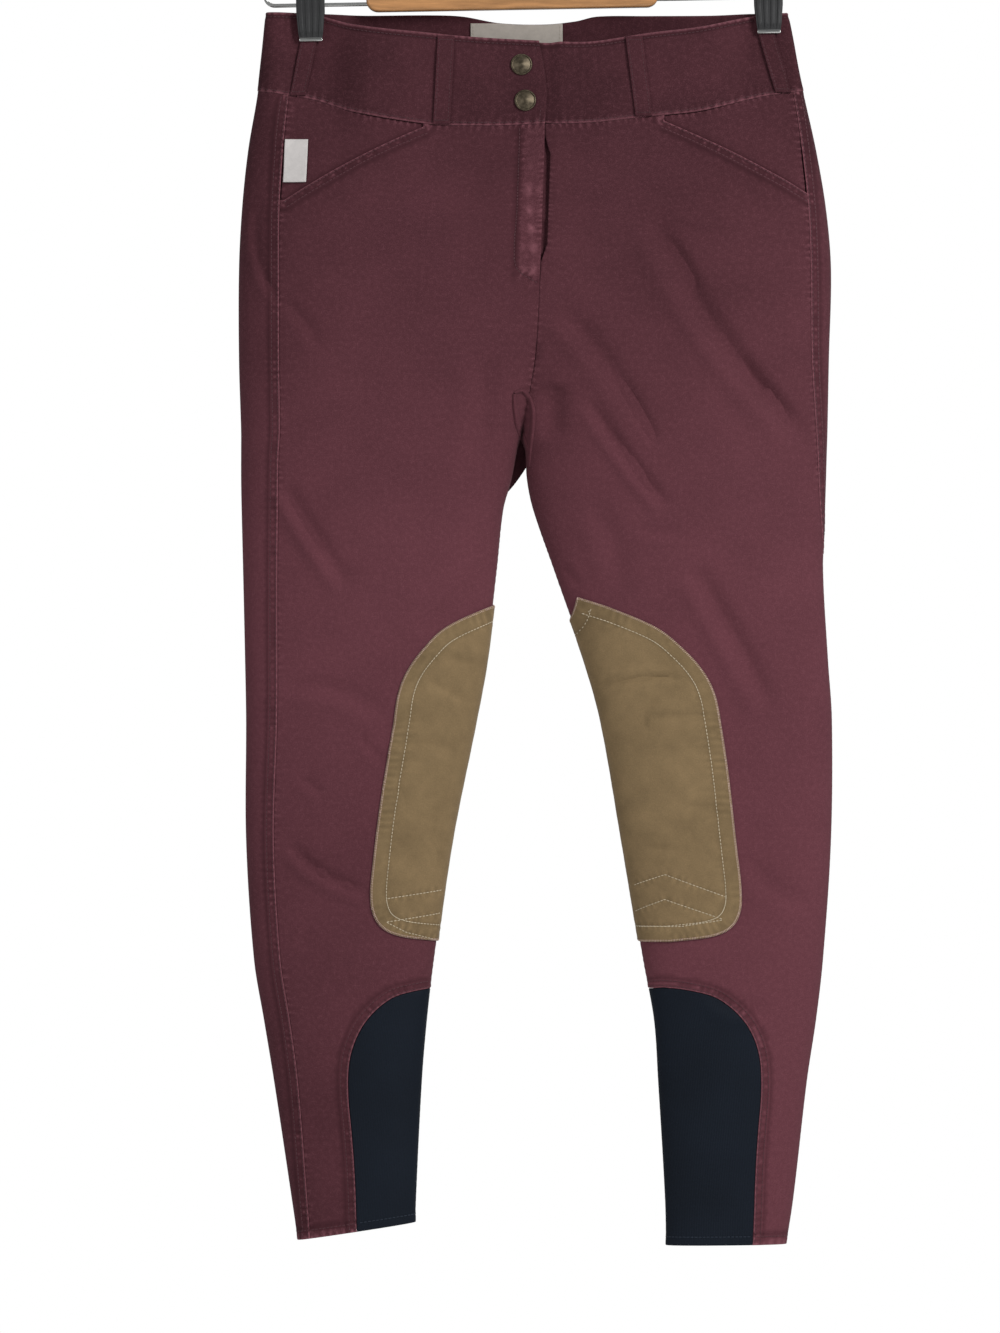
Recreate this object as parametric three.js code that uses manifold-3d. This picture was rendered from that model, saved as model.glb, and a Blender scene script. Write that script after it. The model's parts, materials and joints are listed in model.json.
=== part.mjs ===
// Riding breeches hung by two clips from a wooden trouser hanger, as hollow cloth walls cut and sewn like the garment.
// Millimetres. X runs to the wearer's left, Y to the back and Z up. The origin is the top of the hook's inside.
import * as THREE from "three";
import { mergeVertices } from "three/addons/utils/BufferGeometryUtils.js";
import Module from "manifold-3d";

const wasm = await Module();
wasm.setup();

// Driving dimensions. A drop is a distance below the waistband's side corners.
const BAND_TOP = -110.2;
const BAND_HEIGHT = 60;
const LENGTH = 933;
const CROTCH = 319;
const FORK_START = { front: 205, back: 185 };
const FLY_BOTTOM = 196;
const CENTRE = 26.6;

// Cloth thicknesses and the gaps between pieces.
const CLOTH = 1.3;
const BAND_CLOTH = 2.4;
const BAND_PROUD = 0.5;
const PATCH_CLOTH = 1.4;
const LABEL_CLOTH = 1.0;
const LOOP_CLOTH = 1.5;
const SHIELD_CLOTH = 1.2;
const GAP = 0.3;

// The hanger hangs a little out of level, and its clips flatten the waistband.
const HANGER_TILT = THREE.MathUtils.degToRad(1);
const CLIPS = [
  { name: "right", x: -151.2, bottom: 22.8 },
  { name: "left", x: 196.8, bottom: 16.7 },
];
const PINCH = { depth: 2.7, flat: 12, inward: 34, outward: 20, down: 26, fade: 95 };

const COLOURS = {
  cloth: new THREE.Color(0.105, 0.034, 0.042),
  suede: new THREE.Color(0.24, 0.165, 0.085),
  stretch: new THREE.Color(0.008, 0.012, 0.02),
  brass: new THREE.Color(0.16, 0.13, 0.09),
  label: new THREE.Color(0.62, 0.59, 0.52),
  tab: new THREE.Color(0.72, 0.66, 0.64),
  wood: new THREE.Color(0.5, 0.24, 0.09),
  steel: new THREE.Color(0.62, 0.62, 0.6),
  grip: new THREE.Color(0.02, 0.02, 0.02),
};

// The garment's outline and depth at each drop. Seams are distances in from the side fold, and less than 0 behind it.
const SECTIONS = [
  { drop: 0, rightOut: -185, rightIn: 26.6, leftIn: 26.6, leftOut: 210.5, front: 11, back: 12, round: 55, fork: 40, rightSeam: 24, leftSeam: 8 },
  { drop: 60, rightOut: -191.5, rightIn: 26.6, leftIn: 26.6, leftOut: 222.7, front: 20, back: 22, round: 75, fork: 40, rightSeam: 24, leftSeam: 8 },
  { drop: 105, rightOut: -199, rightIn: 26, leftIn: 26, leftOut: 232.6, front: 25, back: 29, round: 90, fork: 40, rightSeam: 27, leftSeam: 11 },
  { drop: 150, rightOut: -203.7, rightIn: 24.5, leftIn: 24.5, leftOut: 240.2, front: 29, back: 35, round: 100, fork: 40, rightSeam: 29, leftSeam: 14 },
  { drop: 196, rightOut: -206, rightIn: 22.8, leftIn: 22.8, leftOut: 244, front: 31, back: 38, round: 105, fork: 42, rightSeam: 31, leftSeam: 16 },
  { drop: 264, rightOut: -206, rightIn: 19, leftIn: 19, leftOut: 242.4, front: 31, back: 37, round: 110, fork: 55, rightSeam: 31, leftSeam: 13.5 },
  { drop: 319, rightOut: -204.4, rightIn: 9.2, leftIn: 9.2, leftOut: 241.3, front: 30, back: 34, round: 110, fork: 70, rightSeam: 30, leftSeam: 9 },
  { drop: 335, rightOut: -204.4, rightIn: 5.2, leftIn: 11.6, leftOut: 240.8, front: 29.5, back: 32, round: 110, fork: 78, rightSeam: 29, leftSeam: 7.5 },
  { drop: 356, rightOut: -204.4, rightIn: 1, leftIn: 12.9, leftOut: 240.2, front: 29, back: 31, round: 110, fork: 86, rightSeam: 28.5, leftSeam: 6 },
  { drop: 378, rightOut: -204, rightIn: -5, leftIn: 17.5, leftOut: 239.5, front: 28, back: 30, round: 110, fork: 95, rightSeam: 28, leftSeam: 4 },
  { drop: 424, rightOut: -202.9, rightIn: -10, leftIn: 33.4, leftOut: 238, front: 27, back: 28, round: 110, fork: 110, rightSeam: 26.5, leftSeam: -1.5 },
  { drop: 492, rightOut: -201.4, rightIn: -18.2, leftIn: 57, leftOut: 241.7, front: 26, back: 27, round: 110, fork: 110, rightSeam: 25, leftSeam: -5 },
  { drop: 538, rightOut: -200.6, rightIn: -26.6, leftIn: 69.9, leftOut: 244.7, front: 25.5, back: 26.5, round: 110, fork: 110, rightSeam: 24, leftSeam: -7 },
  { drop: 629, rightOut: -200.6, rightIn: -44.8, leftIn: 85.9, leftOut: 244, front: 24, back: 25, round: 110, fork: 110, rightSeam: 21.5, leftSeam: -8 },
  { drop: 720, rightOut: -194.6, rightIn: -57.8, leftIn: 101.1, leftOut: 237.9, front: 22, back: 24, round: 110, fork: 110, rightSeam: 20.5, leftSeam: -8 },
  { drop: 766, rightOut: -187, rightIn: -63.1, leftIn: 109.4, leftOut: 232.6, front: 21, back: 23, round: 110, fork: 110, rightSeam: 20, leftSeam: -8 },
  { drop: 812, rightOut: -179.4, rightIn: -66.9, leftIn: 112.5, leftOut: 225.7, front: 20, back: 22, round: 110, fork: 110, rightSeam: 18.5, leftSeam: -8 },
  { drop: 903, rightOut: -165.7, rightIn: -71.4, leftIn: 117.8, leftOut: 215.1, front: 17, back: 18, round: 110, fork: 110, rightSeam: 12, leftSeam: -8 },
  { drop: 945, rightOut: -159.6, rightIn: -72.4, leftIn: 118.6, leftOut: 208.4, front: 16, back: 17, round: 110, fork: 110, rightSeam: 9, leftSeam: -8 },
];

// The waistband's top edges, and its seam to the fronts, as drops across the width.
const BAND_EDGE = [
  { x: -195, top: 0, seam: 60, backTop: 0 },
  { x: -150, top: 2, seam: 67, backTop: 1.2 },
  { x: -118, top: 10, seam: 77, backTop: 2 },
  { x: -60, top: 16.5, seam: 86.5, backTop: 2.2 },
  { x: 0, top: 21.5, seam: 87.5, backTop: 2.4 },
  { x: 26, top: 22.5, seam: 86, backTop: 2.4 },
  { x: 58, top: 23.5, seam: 85.5, backTop: 2.4 },
  { x: 105, top: 16.5, seam: 80.5, backTop: 2.2 },
  { x: 146, top: 11.5, seam: 76, backTop: 2 },
  { x: 190, top: 2.5, seam: 65, backTop: 1.2 },
  { x: 226, top: 0, seam: 60, backTop: 0 },
];

// Soft troughs in the cloth, each along a line from start to end, pressed in by its depth.
const FOLDS = [
  { face: "front", x0: 120, drop0: 175, x1: 172, drop1: 264, width: 11, depth: 5 },
  { face: "front", x0: 172, drop0: 264, x1: 226, drop1: 326, width: 13, depth: 7 },
  { face: "front", x0: 44, drop0: 234, x1: 108, drop1: 324, width: 10, depth: 5 },
  { face: "front", x0: 62, drop0: 300, x1: 117, drop1: 373, width: 10, depth: 4.5 },
  { face: "front", x0: 33, drop0: 283, x1: 33, drop1: 324, width: 13, depth: 6 },
  { face: "front", x0: 140, drop0: 424, x1: 196, drop1: 528, width: 11, depth: 4.5 },
  { face: "front", x0: -168, drop0: 362, x1: -124, drop1: 435, width: 10, depth: 4 },
  { face: "front", x0: -162, drop0: 634, x1: -110, drop1: 667, width: 11, depth: 3.5 },
  { face: "front", x0: -170, drop0: 518, x1: -92, drop1: 535, width: 12, depth: 3 },
  { face: "back", x0: 0, drop0: 285, x1: -96, drop1: 372, width: 15, depth: 7 },
  { face: "back", x0: 36, drop0: 280, x1: 128, drop1: 366, width: 16, depth: 7 },
  { face: "back", x0: -40, drop0: 330, x1: -150, drop1: 412, width: 12, depth: 4 },
  { face: "back", x0: 84, drop0: 560, x1: 190, drop1: 540, width: 14, depth: 5 },
  { face: "back", x0: -60, drop0: 575, x1: -165, drop1: 548, width: 13, depth: 5 },
];

// The suede knee patch: how far it reaches to the front and back of its peak at each distance below it.
const KNEE_PATCH = [
  { below: 0, front: 0.5, back: 0.5 },
  { below: 9, front: 24, back: 6 },
  { below: 23, front: 51, back: 16 },
  { below: 38, front: 65, back: 27 },
  { below: 55, front: 75, back: 38 },
  { below: 73, front: 79, back: 47 },
  { below: 100, front: 78, back: 55 },
  { below: 140, front: 76.5, back: 58 },
  { below: 193, front: 73.6, back: 57 },
  { below: 222, front: 72, back: 56 },
  { below: 238, front: 68.5, back: 52 },
  { below: 250, front: 60, back: 43 },
  { below: 257, front: 44, back: 28 },
  { below: 261, front: 12, back: 8 },
];

// The stretch panel of the lower leg, in the same columns. It runs on past the hem, which trims it.
const CALF_PANEL = [
  { below: 0, front: 1, back: 1 },
  { below: 1.5, front: 16, back: 16 },
  { below: 6, front: 35, back: 35 },
  { below: 13, front: 46, back: 46 },
  { below: 22, front: 54.5, back: 54.5 },
  { below: 32, front: 60.5, back: 60.5 },
  { below: 45, front: 65, back: 65 },
  { below: 60, front: 67, back: 67 },
  { below: 82, front: 66, back: 66 },
  { below: 110, front: 62, back: 62 },
  { below: 139, front: 58.5, back: 58.5 },
  { below: 170, front: 56, back: 56 },
  { below: 230, front: 53, back: 53 },
];
const PATCH_TOP = 445;
const CALF_TOP = 741;

// The two halves of the garment. Patch and calf turns say how far the peak lies in front of the inner fold.
const SIDES = {
  right: { sign: -1, out: "rightOut", in: "rightIn", seam: "rightSeam", patchTurn: -17, calfTurn: -11, hemOut: 0, hemIn: -13.5 },
  left: { sign: 1, out: "leftOut", in: "leftIn", seam: "leftSeam", patchTurn: 11, calfTurn: 11, hemOut: 3, hemIn: 4 },
};

// The slanted front pockets, from the waist seam to the side seam.
const POCKETS = {
  right: { inX: -66, inDrop: 88.5, outX: -171, outDrop: 144, sag: 3 },
  left: { inX: 117, inDrop: 84, outX: 226, outDrop: 139, sag: 2 },
};
const FACING_UNDERLAP = 18;
const FACING_FIRST = 5;

// Belt loops: the waistband's face that carries each, and its middle line from top to bottom.
const BELT_LOOPS = [
  { name: "belt_loop_side_right", face: "front", xTop: -149, xBottom: -161.5, width: 12.5 },
  { name: "belt_loop_front_right", face: "front", xTop: -48.5, xBottom: -52, width: 13 },
  { name: "belt_loop_front_left", face: "front", xTop: 94, xBottom: 101.5, width: 13 },
  { name: "belt_loop_side_left", face: "front", xTop: 191, xBottom: 207.5, width: 12.5 },
  { name: "belt_loop_back", face: "back", xTop: 17, xBottom: 17, width: 13 },
];
const SNAPS = [
  { name: "snap_upper", x: 8.7, drop: 41 },
  { name: "snap_lower", x: 11.6, drop: 68.4 },
];
const SNAP = { radius: 8.2, height: 3.1, rim: 1.0, sides: 20 };
const UNDERLAP_COLUMNS = [-14, -2, 10, 22, 29, 32, 35, 39.5];
const BAND_LAP = { ramp: 11, inset: 2.7 };
const LAP_EDGE = [
  { level: 0, x: 22 },
  { level: 20, x: 25.9 },
  { level: 40, x: 28 },
  { level: 60, x: 26.4 },
];
const FLY_DIP = { depth: 1.6, width: 9 };
const FLY_SHIELD = { left: -2, right: 41, top: 89.5, bottom: 203 };
const SIDE_LABEL = { x0: -170.5, x1: -153, top: 98, bottom: 130.5 };
const BACK_LABEL = { x0: -30, x1: 40, top: 7.5, bottom: 46 };

// Grid sizes of the cloth walls.
const ROWS_TO_FORK = 6;
const ROWS_OF_FORK = 8;
const ROWS_BELOW_CROTCH = 22;
const FRONT_COLUMNS = 12;
const BACK_COLUMNS = 14;
const BAND_ROWS = 3;

const clamp = THREE.MathUtils.clamp;
const mix = THREE.MathUtils.lerp;
const smooth = (t) => THREE.MathUtils.smoothstep(t, 0, 1);

// A column of a table as a smooth function of its key column.
function along(table, key, column) {
  const t = table.map((row) => row[key]);
  const v = table.map((row) => row[column]);
  const slope = v.map((_, i) => {
    const a = Math.max(i - 1, 0);
    const b = Math.min(i + 1, v.length - 1);
    return (v[b] - v[a]) / (t[b] - t[a]);
  });
  return (at) => {
    if (at <= t[0]) return v[0];
    if (at >= t[t.length - 1]) return v[v.length - 1];
    const i = t.findIndex((_, k) => at < t[k + 1]);
    const span = t[i + 1] - t[i];
    const u = (at - t[i]) / span;
    const tangents = (u ** 3 - 2 * u * u + u) * slope[i] + (u ** 3 - u * u) * slope[i + 1];
    return v[i] + (3 * u * u - 2 * u ** 3) * (v[i + 1] - v[i]) + tangents * span;
  };
}

const section = {};
for (const column of Object.keys(SECTIONS[0])) section[column] = along(SECTIONS, "drop", column);
const lapEdgeAt = along(LAP_EDGE, "level", "x");
const topAt = { front: along(BAND_EDGE, "x", "top"), back: along(BAND_EDGE, "x", "backTop") };
const seamAt = { front: along(BAND_EDGE, "x", "seam"), back: () => BAND_HEIGHT };

// How far the cloth bulges at a distance from a fold, as a share of its full depth.
function bulge(distance, length) {
  const t = clamp(1 - distance / length, 0, 1);
  return Math.pow(1 - Math.pow(t, 2.3), 1 / 2.3);
}

// How open the seat still is at a drop: 1 at the waist, and 0 at the crotch and below.
function openness(face, drop) {
  const t = clamp((drop - FORK_START[face]) / (CROTCH - FORK_START[face]), 0, 1);
  return Math.sqrt(1 - t * t);
}

// How strongly a clip presses front and back together at a place on the waistband.
function pinch(x, drop) {
  let most = 0;
  for (const clip of CLIPS) {
    const away = Math.abs(x - clip.x) - PINCH.flat;
    const outward = (x - clip.x) * (clip.x - CENTRE) > 0;
    const across = 1 - smooth(away / (outward ? PINCH.outward : PINCH.inward));
    most = Math.max(most, across * (1 - smooth((drop - PINCH.down) / PINCH.fade)));
  }
  return most;
}

// The depth of the soft troughs at a place on a face.
function foldDepth(face, x, drop) {
  let sum = 0;
  for (const fold of FOLDS) {
    if (fold.face !== face) continue;
    const dx = fold.x1 - fold.x0;
    const dz = fold.drop1 - fold.drop0;
    const t = clamp(((x - fold.x0) * dx + (drop - fold.drop0) * dz) / (dx * dx + dz * dz), 0, 1);
    const away = Math.hypot(x - fold.x0 - t * dx, drop - fold.drop0 - t * dz);
    sum += fold.depth * Math.exp(-((away / fold.width) ** 2));
  }
  return sum;
}

// The real drop of a level at x. Levels are even rows, which the waist seam and the hem bend.
function dropOf(side, face, level, x) {
  const seam = seamAt[face](x);
  if (level <= BAND_HEIGHT) return mix(topAt[face](x), seam, level / BAND_HEIGHT);
  const waist = (seam - BAND_HEIGHT) * (1 - smooth((level - BAND_HEIGHT) / 150));
  const outer = section[side.out](level);
  const inner = section[side.in](level);
  const hem = mix(side.hemOut, side.hemIn, clamp((x - outer) / (inner - outer), 0, 1));
  return level + waist + hem * smooth((level - LENGTH + 140) / 140);
}

// A point of the cloth's outer face. Across runs from the inner edge at 0 round the side fold at 1 to the back's inner edge at 2.
function skin(side, level, across) {
  const closed = level >= CROTCH;
  let a = across;
  if (closed && a < 0) a += 2;
  if (closed && a > 2) a -= 2;
  a = clamp(a, 0, 2);
  const face = a <= 1 ? "front" : "back";
  const share = (1 - Math.cos(Math.PI * (face === "front" ? a : 2 - a))) / 2;
  const xAt = (drop) => mix(section[side.in](drop), section[side.out](drop), share);
  const drop = dropOf(side, face, level, xAt(dropOf(side, face, level, xAt(level))));
  const x = xAt(drop);
  const width = Math.abs(section[side.out](drop) - section[side.in](drop));
  const toSide = width * (1 - share);
  const toInner = width * share;
  const open = openness(face, level);
  const inner = bulge(toInner, Math.min(section.fork(level), width / 2));
  const sides = bulge(toSide, Math.min(section.round(level), width / 2));
  const full = section[face](level) * sides * Math.sqrt(open ** 2 + (1 - open ** 2) * inner ** 2);
  const pressed = PINCH.depth * bulge(toSide, 6);
  let depth = mix(full, pressed, pinch(x, drop));
  depth -= foldDepth(face, x, drop) * bulge(toSide, 40) * Math.max(open, bulge(toInner, 40));
  if (face === "front" && side.sign > 0 && level >= BAND_HEIGHT) {
    const dip = (1 - smooth(toInner / FLY_DIP.width)) * (1 - smooth((drop - FLY_BOTTOM + 12) / 24));
    depth -= FLY_DIP.depth * dip;
  }
  return new THREE.Vector3(x, face === "front" ? -depth : depth, BAND_TOP - drop);
}

// The outward direction of the cloth at a place.
function outward(side, level, across) {
  const step = 0.01;
  const open = level < CROTCH;
  const a0 = open ? Math.max(across - step, 0) : across - step;
  const a1 = open ? Math.min(across + step, 2) : across + step;
  const l0 = Math.max(level - 2, 0);
  const round = skin(side, level, a1).sub(skin(side, level, a0));
  const down = skin(side, level + 2, across).sub(skin(side, l0, across));
  return round.cross(down).multiplyScalar(-side.sign).normalize();
}

// A point moved off the cloth's outer face: more than 0 is outward.
function off(side, level, across, distance) {
  return skin(side, level, across).addScaledVector(outward(side, level, across), distance);
}

// Where on a half an x and a drop of the front or back lie, as a level and an across.
function placeOf(face, x, drop) {
  const side = x < section.rightIn(drop) ? SIDES.right : SIDES.left;
  const inner = section[side.in](drop);
  const share = clamp((x - inner) / (section[side.out](drop) - inner), 0, 1);
  const a = Math.acos(1 - 2 * share) / Math.PI;
  let low = 0;
  let high = LENGTH + 20;
  for (let i = 0; i < 40; i++) {
    const middle = (low + high) / 2;
    if (dropOf(side, face, middle, x) < drop) low = middle;
    else high = middle;
  }
  return { side, level: low, across: face === "front" ? a : 2 - a };
}

function offAt(face, x, drop, distance) {
  const place = placeOf(face, x, drop);
  return off(place.side, place.level, place.across, distance);
}

// A closed wall between an outer and an inner grid of points of the same size.
function wall(outer, inner) {
  const rows = outer.length;
  const columns = outer[0].length;
  const points = [...outer.flat(), ...inner.flat()];
  const inside = rows * columns;
  const id = (i, j) => i * columns + j;
  const faces = [];
  const quad = (a, b, c, d) => faces.push(a, b, c, a, c, d);
  for (let i = 0; i + 1 < rows; i++) {
    for (let j = 0; j + 1 < columns; j++) {
      quad(id(i, j), id(i, j + 1), id(i + 1, j + 1), id(i + 1, j));
      quad(inside + id(i, j), inside + id(i + 1, j), inside + id(i + 1, j + 1), inside + id(i, j + 1));
    }
    quad(id(i + 1, 0), inside + id(i + 1, 0), inside + id(i, 0), id(i, 0));
    const last = columns - 1;
    quad(id(i + 1, last), id(i, last), inside + id(i, last), inside + id(i + 1, last));
  }
  for (let j = 0; j + 1 < columns; j++) {
    quad(id(0, j + 1), id(0, j), inside + id(0, j), inside + id(0, j + 1));
    const last = rows - 1;
    quad(id(last, j + 1), inside + id(last, j + 1), inside + id(last, j), id(last, j));
  }
  const geometry = new THREE.BufferGeometry().setFromPoints(points);
  geometry.setIndex(faces);
  return facingOut(geometry);
}

// The same closed geometry with its faces turned outward.
function facingOut(geometry) {
  const p = geometry.attributes.position;
  const index = geometry.index.array;
  const [a, b, c] = [new THREE.Vector3(), new THREE.Vector3(), new THREE.Vector3()];
  let volume = 0;
  for (let i = 0; i < index.length; i += 3) {
    a.fromBufferAttribute(p, index[i]);
    b.fromBufferAttribute(p, index[i + 1]);
    c.fromBufferAttribute(p, index[i + 2]);
    volume += a.dot(b.cross(c));
  }
  if (volume < 0) {
    for (let i = 0; i < index.length; i += 3) [index[i], index[i + 1]] = [index[i + 1], index[i]];
  }
  return geometry;
}

// The wall of a grid of places on one half, from one distance off the skin to another.
function clothWall(side, levels, acrossAt, outerOff, innerOff) {
  const grid = (distance) =>
    levels.map((level) => acrossAt(level).map((a) => off(side, level, a, distance)));
  return wall(grid(outerOff), grid(innerOff));
}

// A closed geometry as a solid for cutting, and a solid as a geometry again.
function solidOf(geometry) {
  const bare = geometry.index ? geometry.toNonIndexed() : geometry.clone();
  bare.deleteAttribute("normal");
  bare.deleteAttribute("uv");
  const merged = mergeVertices(bare, 1e-4);
  const mesh = new wasm.Mesh({
    numProp: 3,
    vertProperties: new Float32Array(merged.attributes.position.array),
    triVerts: new Uint32Array(merged.index.array),
  });
  return new wasm.Manifold(mesh);
}

// The largest piece of a solid, without the slivers that a cut can leave.
function geometryOf(solid) {
  const pieces = solid.decompose().sort((a, b) => b.volume() - a.volume());
  const mesh = pieces[0].getMesh();
  const geometry = new THREE.BufferGeometry();
  geometry.setAttribute("position", new THREE.BufferAttribute(new Float32Array(mesh.vertProperties), 3));
  geometry.setIndex(new THREE.BufferAttribute(new Uint32Array(mesh.triVerts), 1));
  return geometry;
}

// A prism through the front or the back of the garment, from an outline of x and drop.
function prism(outline, face) {
  const shape = new THREE.Shape(outline.map(([x, drop]) => new THREE.Vector2(x, BAND_TOP - drop)));
  const depth = 120;
  const lap = 0.05;
  const geometry = new THREE.ExtrudeGeometry(shape, { depth, bevelEnabled: false, steps: 1 });
  geometry.rotateX(Math.PI / 2);
  geometry.translate(0, face === "back" ? depth - lap : lap, 0);
  return solidOf(geometry);
}

// A patch outline on one face: grown is how far it is moved outward all round.
function patchOutline(side, table, top, turn, face, grown) {
  const reach = face === "front" ? ["back", "front", turn] : ["front", "back", -turn];
  const left = [];
  const right = [];
  table.forEach((row, i) => {
    const drop = top + row.below + (i === 0 ? -grown : i === table.length - 1 ? grown : 0);
    const inner = section[side.in](drop);
    left.push([inner + side.sign * (reach[2] - row[reach[0]] - grown), drop]);
    right.push([inner + side.sign * (reach[2] + row[reach[1]] + grown), drop]);
  });
  const outline = [...left, ...right.reverse()];
  return side.sign > 0 ? outline : outline.reverse();
}

function patchCutter(side, table, top, turn, grown) {
  const faces = ["front", "back"].map((face) => prism(patchOutline(side, table, top, turn, face, grown), face));
  return faces[0].add(faces[1]);
}

// The levels of the cloth's rows, closest together where the seat turns under at the crotch.
const LEVELS = [];
for (let k = 0; k < ROWS_TO_FORK; k++) {
  LEVELS.push(mix(BAND_HEIGHT, FORK_START.back, k / ROWS_TO_FORK));
}
for (let k = 0; k < ROWS_OF_FORK; k++) {
  LEVELS.push(mix(FORK_START.back, CROTCH, Math.sin((Math.PI / 2) * (k / ROWS_OF_FORK))));
}
for (let k = 0; k <= ROWS_BELOW_CROTCH; k++) {
  LEVELS.push(CROTCH + (LENGTH - CROTCH) * Math.pow(k / ROWS_BELOW_CROTCH, 1.25));
}
LEVELS[0] += GAP;

// The lengths of a front or back, parted below the crotch and at the knee, as rows of the levels.
const HIP_ROWS = ROWS_TO_FORK + ROWS_OF_FORK + 2;
const KNEE_ROW = ROWS_TO_FORK + ROWS_OF_FORK + 13;
const LENGTHS = [
  { name: "hip", first: 0, last: HIP_ROWS },
  { name: "thigh", first: HIP_ROWS, last: KNEE_ROW },
  { name: "shin", first: KNEE_ROW, last: LEVELS.length - 1 },
];

// How far across a seam lies that is some distance in from the side fold.
function acrossOf(side, level, seam) {
  const width = Math.abs(section[side.out](level) - section[side.in](level));
  const a = Math.acos(1 - 2 * (1 - Math.abs(seam) / width)) / Math.PI;
  return seam >= 0 ? a : 2 - a;
}

const sideSeamOf = (side, level) => acrossOf(side, level, section[side.seam](level));

// Half a seam gap as a step across, at the inner edge and at the side seam.
const INNER_STEP = 0.001;
const seamStep = (side, level) => {
  const a = sideSeamOf(side, level);
  const speed = skin(side, level, a + 0.01).distanceTo(skin(side, level, a - 0.01)) / 0.02;
  return GAP / 2 / speed;
};

function frontAcross(side, level) {
  const first = level < CROTCH ? 0 : INNER_STEP;
  const last = sideSeamOf(side, level) - seamStep(side, level);
  return Array.from({ length: FRONT_COLUMNS + 1 }, (_, j) => mix(first, last, j / FRONT_COLUMNS));
}

function backAcross(side, level) {
  const first = sideSeamOf(side, level) + seamStep(side, level);
  const last = 2 - (level < CROTCH ? 0 : INNER_STEP);
  return Array.from({ length: BACK_COLUMNS + 1 }, (_, j) => mix(first, last, j / BACK_COLUMNS));
}

// The cloth round the inner fold, over some columns of the back and the front.
function innerAcross(side, level, backCount, frontCount) {
  const back = backAcross(side, level).slice(BACK_COLUMNS - backCount);
  const front = frontAcross(side, level).slice(0, frontCount + 1);
  return [...back.map((a) => a - 2), ...front];
}

// Moves the centre edges of a half apart by half a seam gap, where the two halves are sewn together.
function partedAtCentre(geometry, side) {
  const p = geometry.attributes.position;
  for (let i = 0; i < p.count; i++) {
    const drop = BAND_TOP - p.getZ(i);
    if (drop > CROTCH + 1) continue;
    const seam = section.rightIn(drop);
    if ((p.getX(i) - seam) * side.sign < GAP / 2) p.setX(i, seam + (side.sign * GAP) / 2);
  }
  return geometry;
}

// The line of a pocket's mouth, as a drop at x.
function pocketDrop(pocket, x) {
  const t = (x - pocket.inX) / (pocket.outX - pocket.inX);
  return mix(pocket.inDrop, pocket.outDrop, t) - pocket.sag * 4 * t * (1 - t);
}

// The region above a pocket's mouth, from the waist seam to past the side fold.
function aboveMouth(side, pocket, below) {
  const steps = 6;
  const mouth = Array.from({ length: steps + 1 }, (_, i) => {
    const x = mix(pocket.inX, pocket.outX, i / steps);
    return [x, pocketDrop(pocket, x) + below];
  });
  const past = pocket.outX + side.sign * 60;
  const outline = [[pocket.inX, 20], ...mouth, [past, pocket.outDrop + below], [past, 20]];
  return prism(side.sign > 0 ? outline.reverse() : outline, "front");
}

// How deep the pocket's facing lies under the front: full under its mouth, and nothing near the waist and side seams.
function facingOff(pocket, x, drop) {
  const above = pocketDrop(pocket, x) - drop;
  return -(CLOTH + GAP + 0.05) * (1 - smooth((above - 22) / 26));
}

const breeches = new THREE.Group();

// Adds a sub-part to the model under its name, with its finish.
function add(name, geometry, colour, roughness, metalness = 0, group = breeches) {
  const shown = geometry.index ? geometry.toNonIndexed() : geometry;
  shown.computeVertexNormals();
  const material = new THREE.MeshStandardMaterial({ color: COLOURS[colour], roughness, metalness });
  const mesh = new THREE.Mesh(shown, material);
  mesh.name = name;
  group.add(mesh);
  return mesh;
}

// Fronts and backs, each in three lengths from the waist seam to the hem, less the stretch panel and the pocket's mouth.
function addPanels(name, side) {
  const cut = patchCutter(side, CALF_PANEL, CALF_TOP, side.calfTurn, GAP / 2);
  const mouth = aboveMouth(side, POCKETS[name], 0);
  for (const length of LENGTHS) {
    const levels = LEVELS.slice(length.first, length.last + 1);
    if (length.first > 0) levels[0] += GAP / 2;
    if (length.last < LEVELS.length - 1) levels[levels.length - 1] -= GAP / 2;
    const front = partedAtCentre(clothWall(side, levels, (level) => frontAcross(side, level), 0, -CLOTH), side);
    add(`front_${name}_${length.name}`, geometryOf(solidOf(front).subtract(cut).subtract(mouth)), "cloth", 0.85);
    const back = partedAtCentre(clothWall(side, levels, (level) => backAcross(side, level), 0, -CLOTH), side);
    add(`back_${name}_${length.name}`, geometryOf(solidOf(back).subtract(cut)), "cloth", 0.85);
  }
}

// The suede knee patch on the cloth, and the stretch panel let into it.
function addPatches(name, side) {
  const knees = LEVELS.filter((level) => level > PATCH_TOP - 45 && level < PATCH_TOP + 300);
  const knee = clothWall(side, knees, (level) => innerAcross(side, level, 7, 8), GAP + PATCH_CLOTH, GAP);
  const kneeCutter = patchCutter(side, KNEE_PATCH, PATCH_TOP, side.patchTurn, 0);
  add(`knee_patch_${name}`, geometryOf(solidOf(knee).intersect(kneeCutter)), "suede", 0.95);
  const calves = LEVELS.filter((level) => level > CALF_TOP - 45);
  const calf = clothWall(side, calves, (level) => innerAcross(side, level, 12, 11), 0, -CLOTH);
  const calfCutter = patchCutter(side, CALF_PANEL, CALF_TOP, side.calfTurn, -GAP / 2);
  add(`calf_panel_${name}`, geometryOf(solidOf(calf).intersect(calfCutter)), "stretch", 0.6);
}

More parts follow.
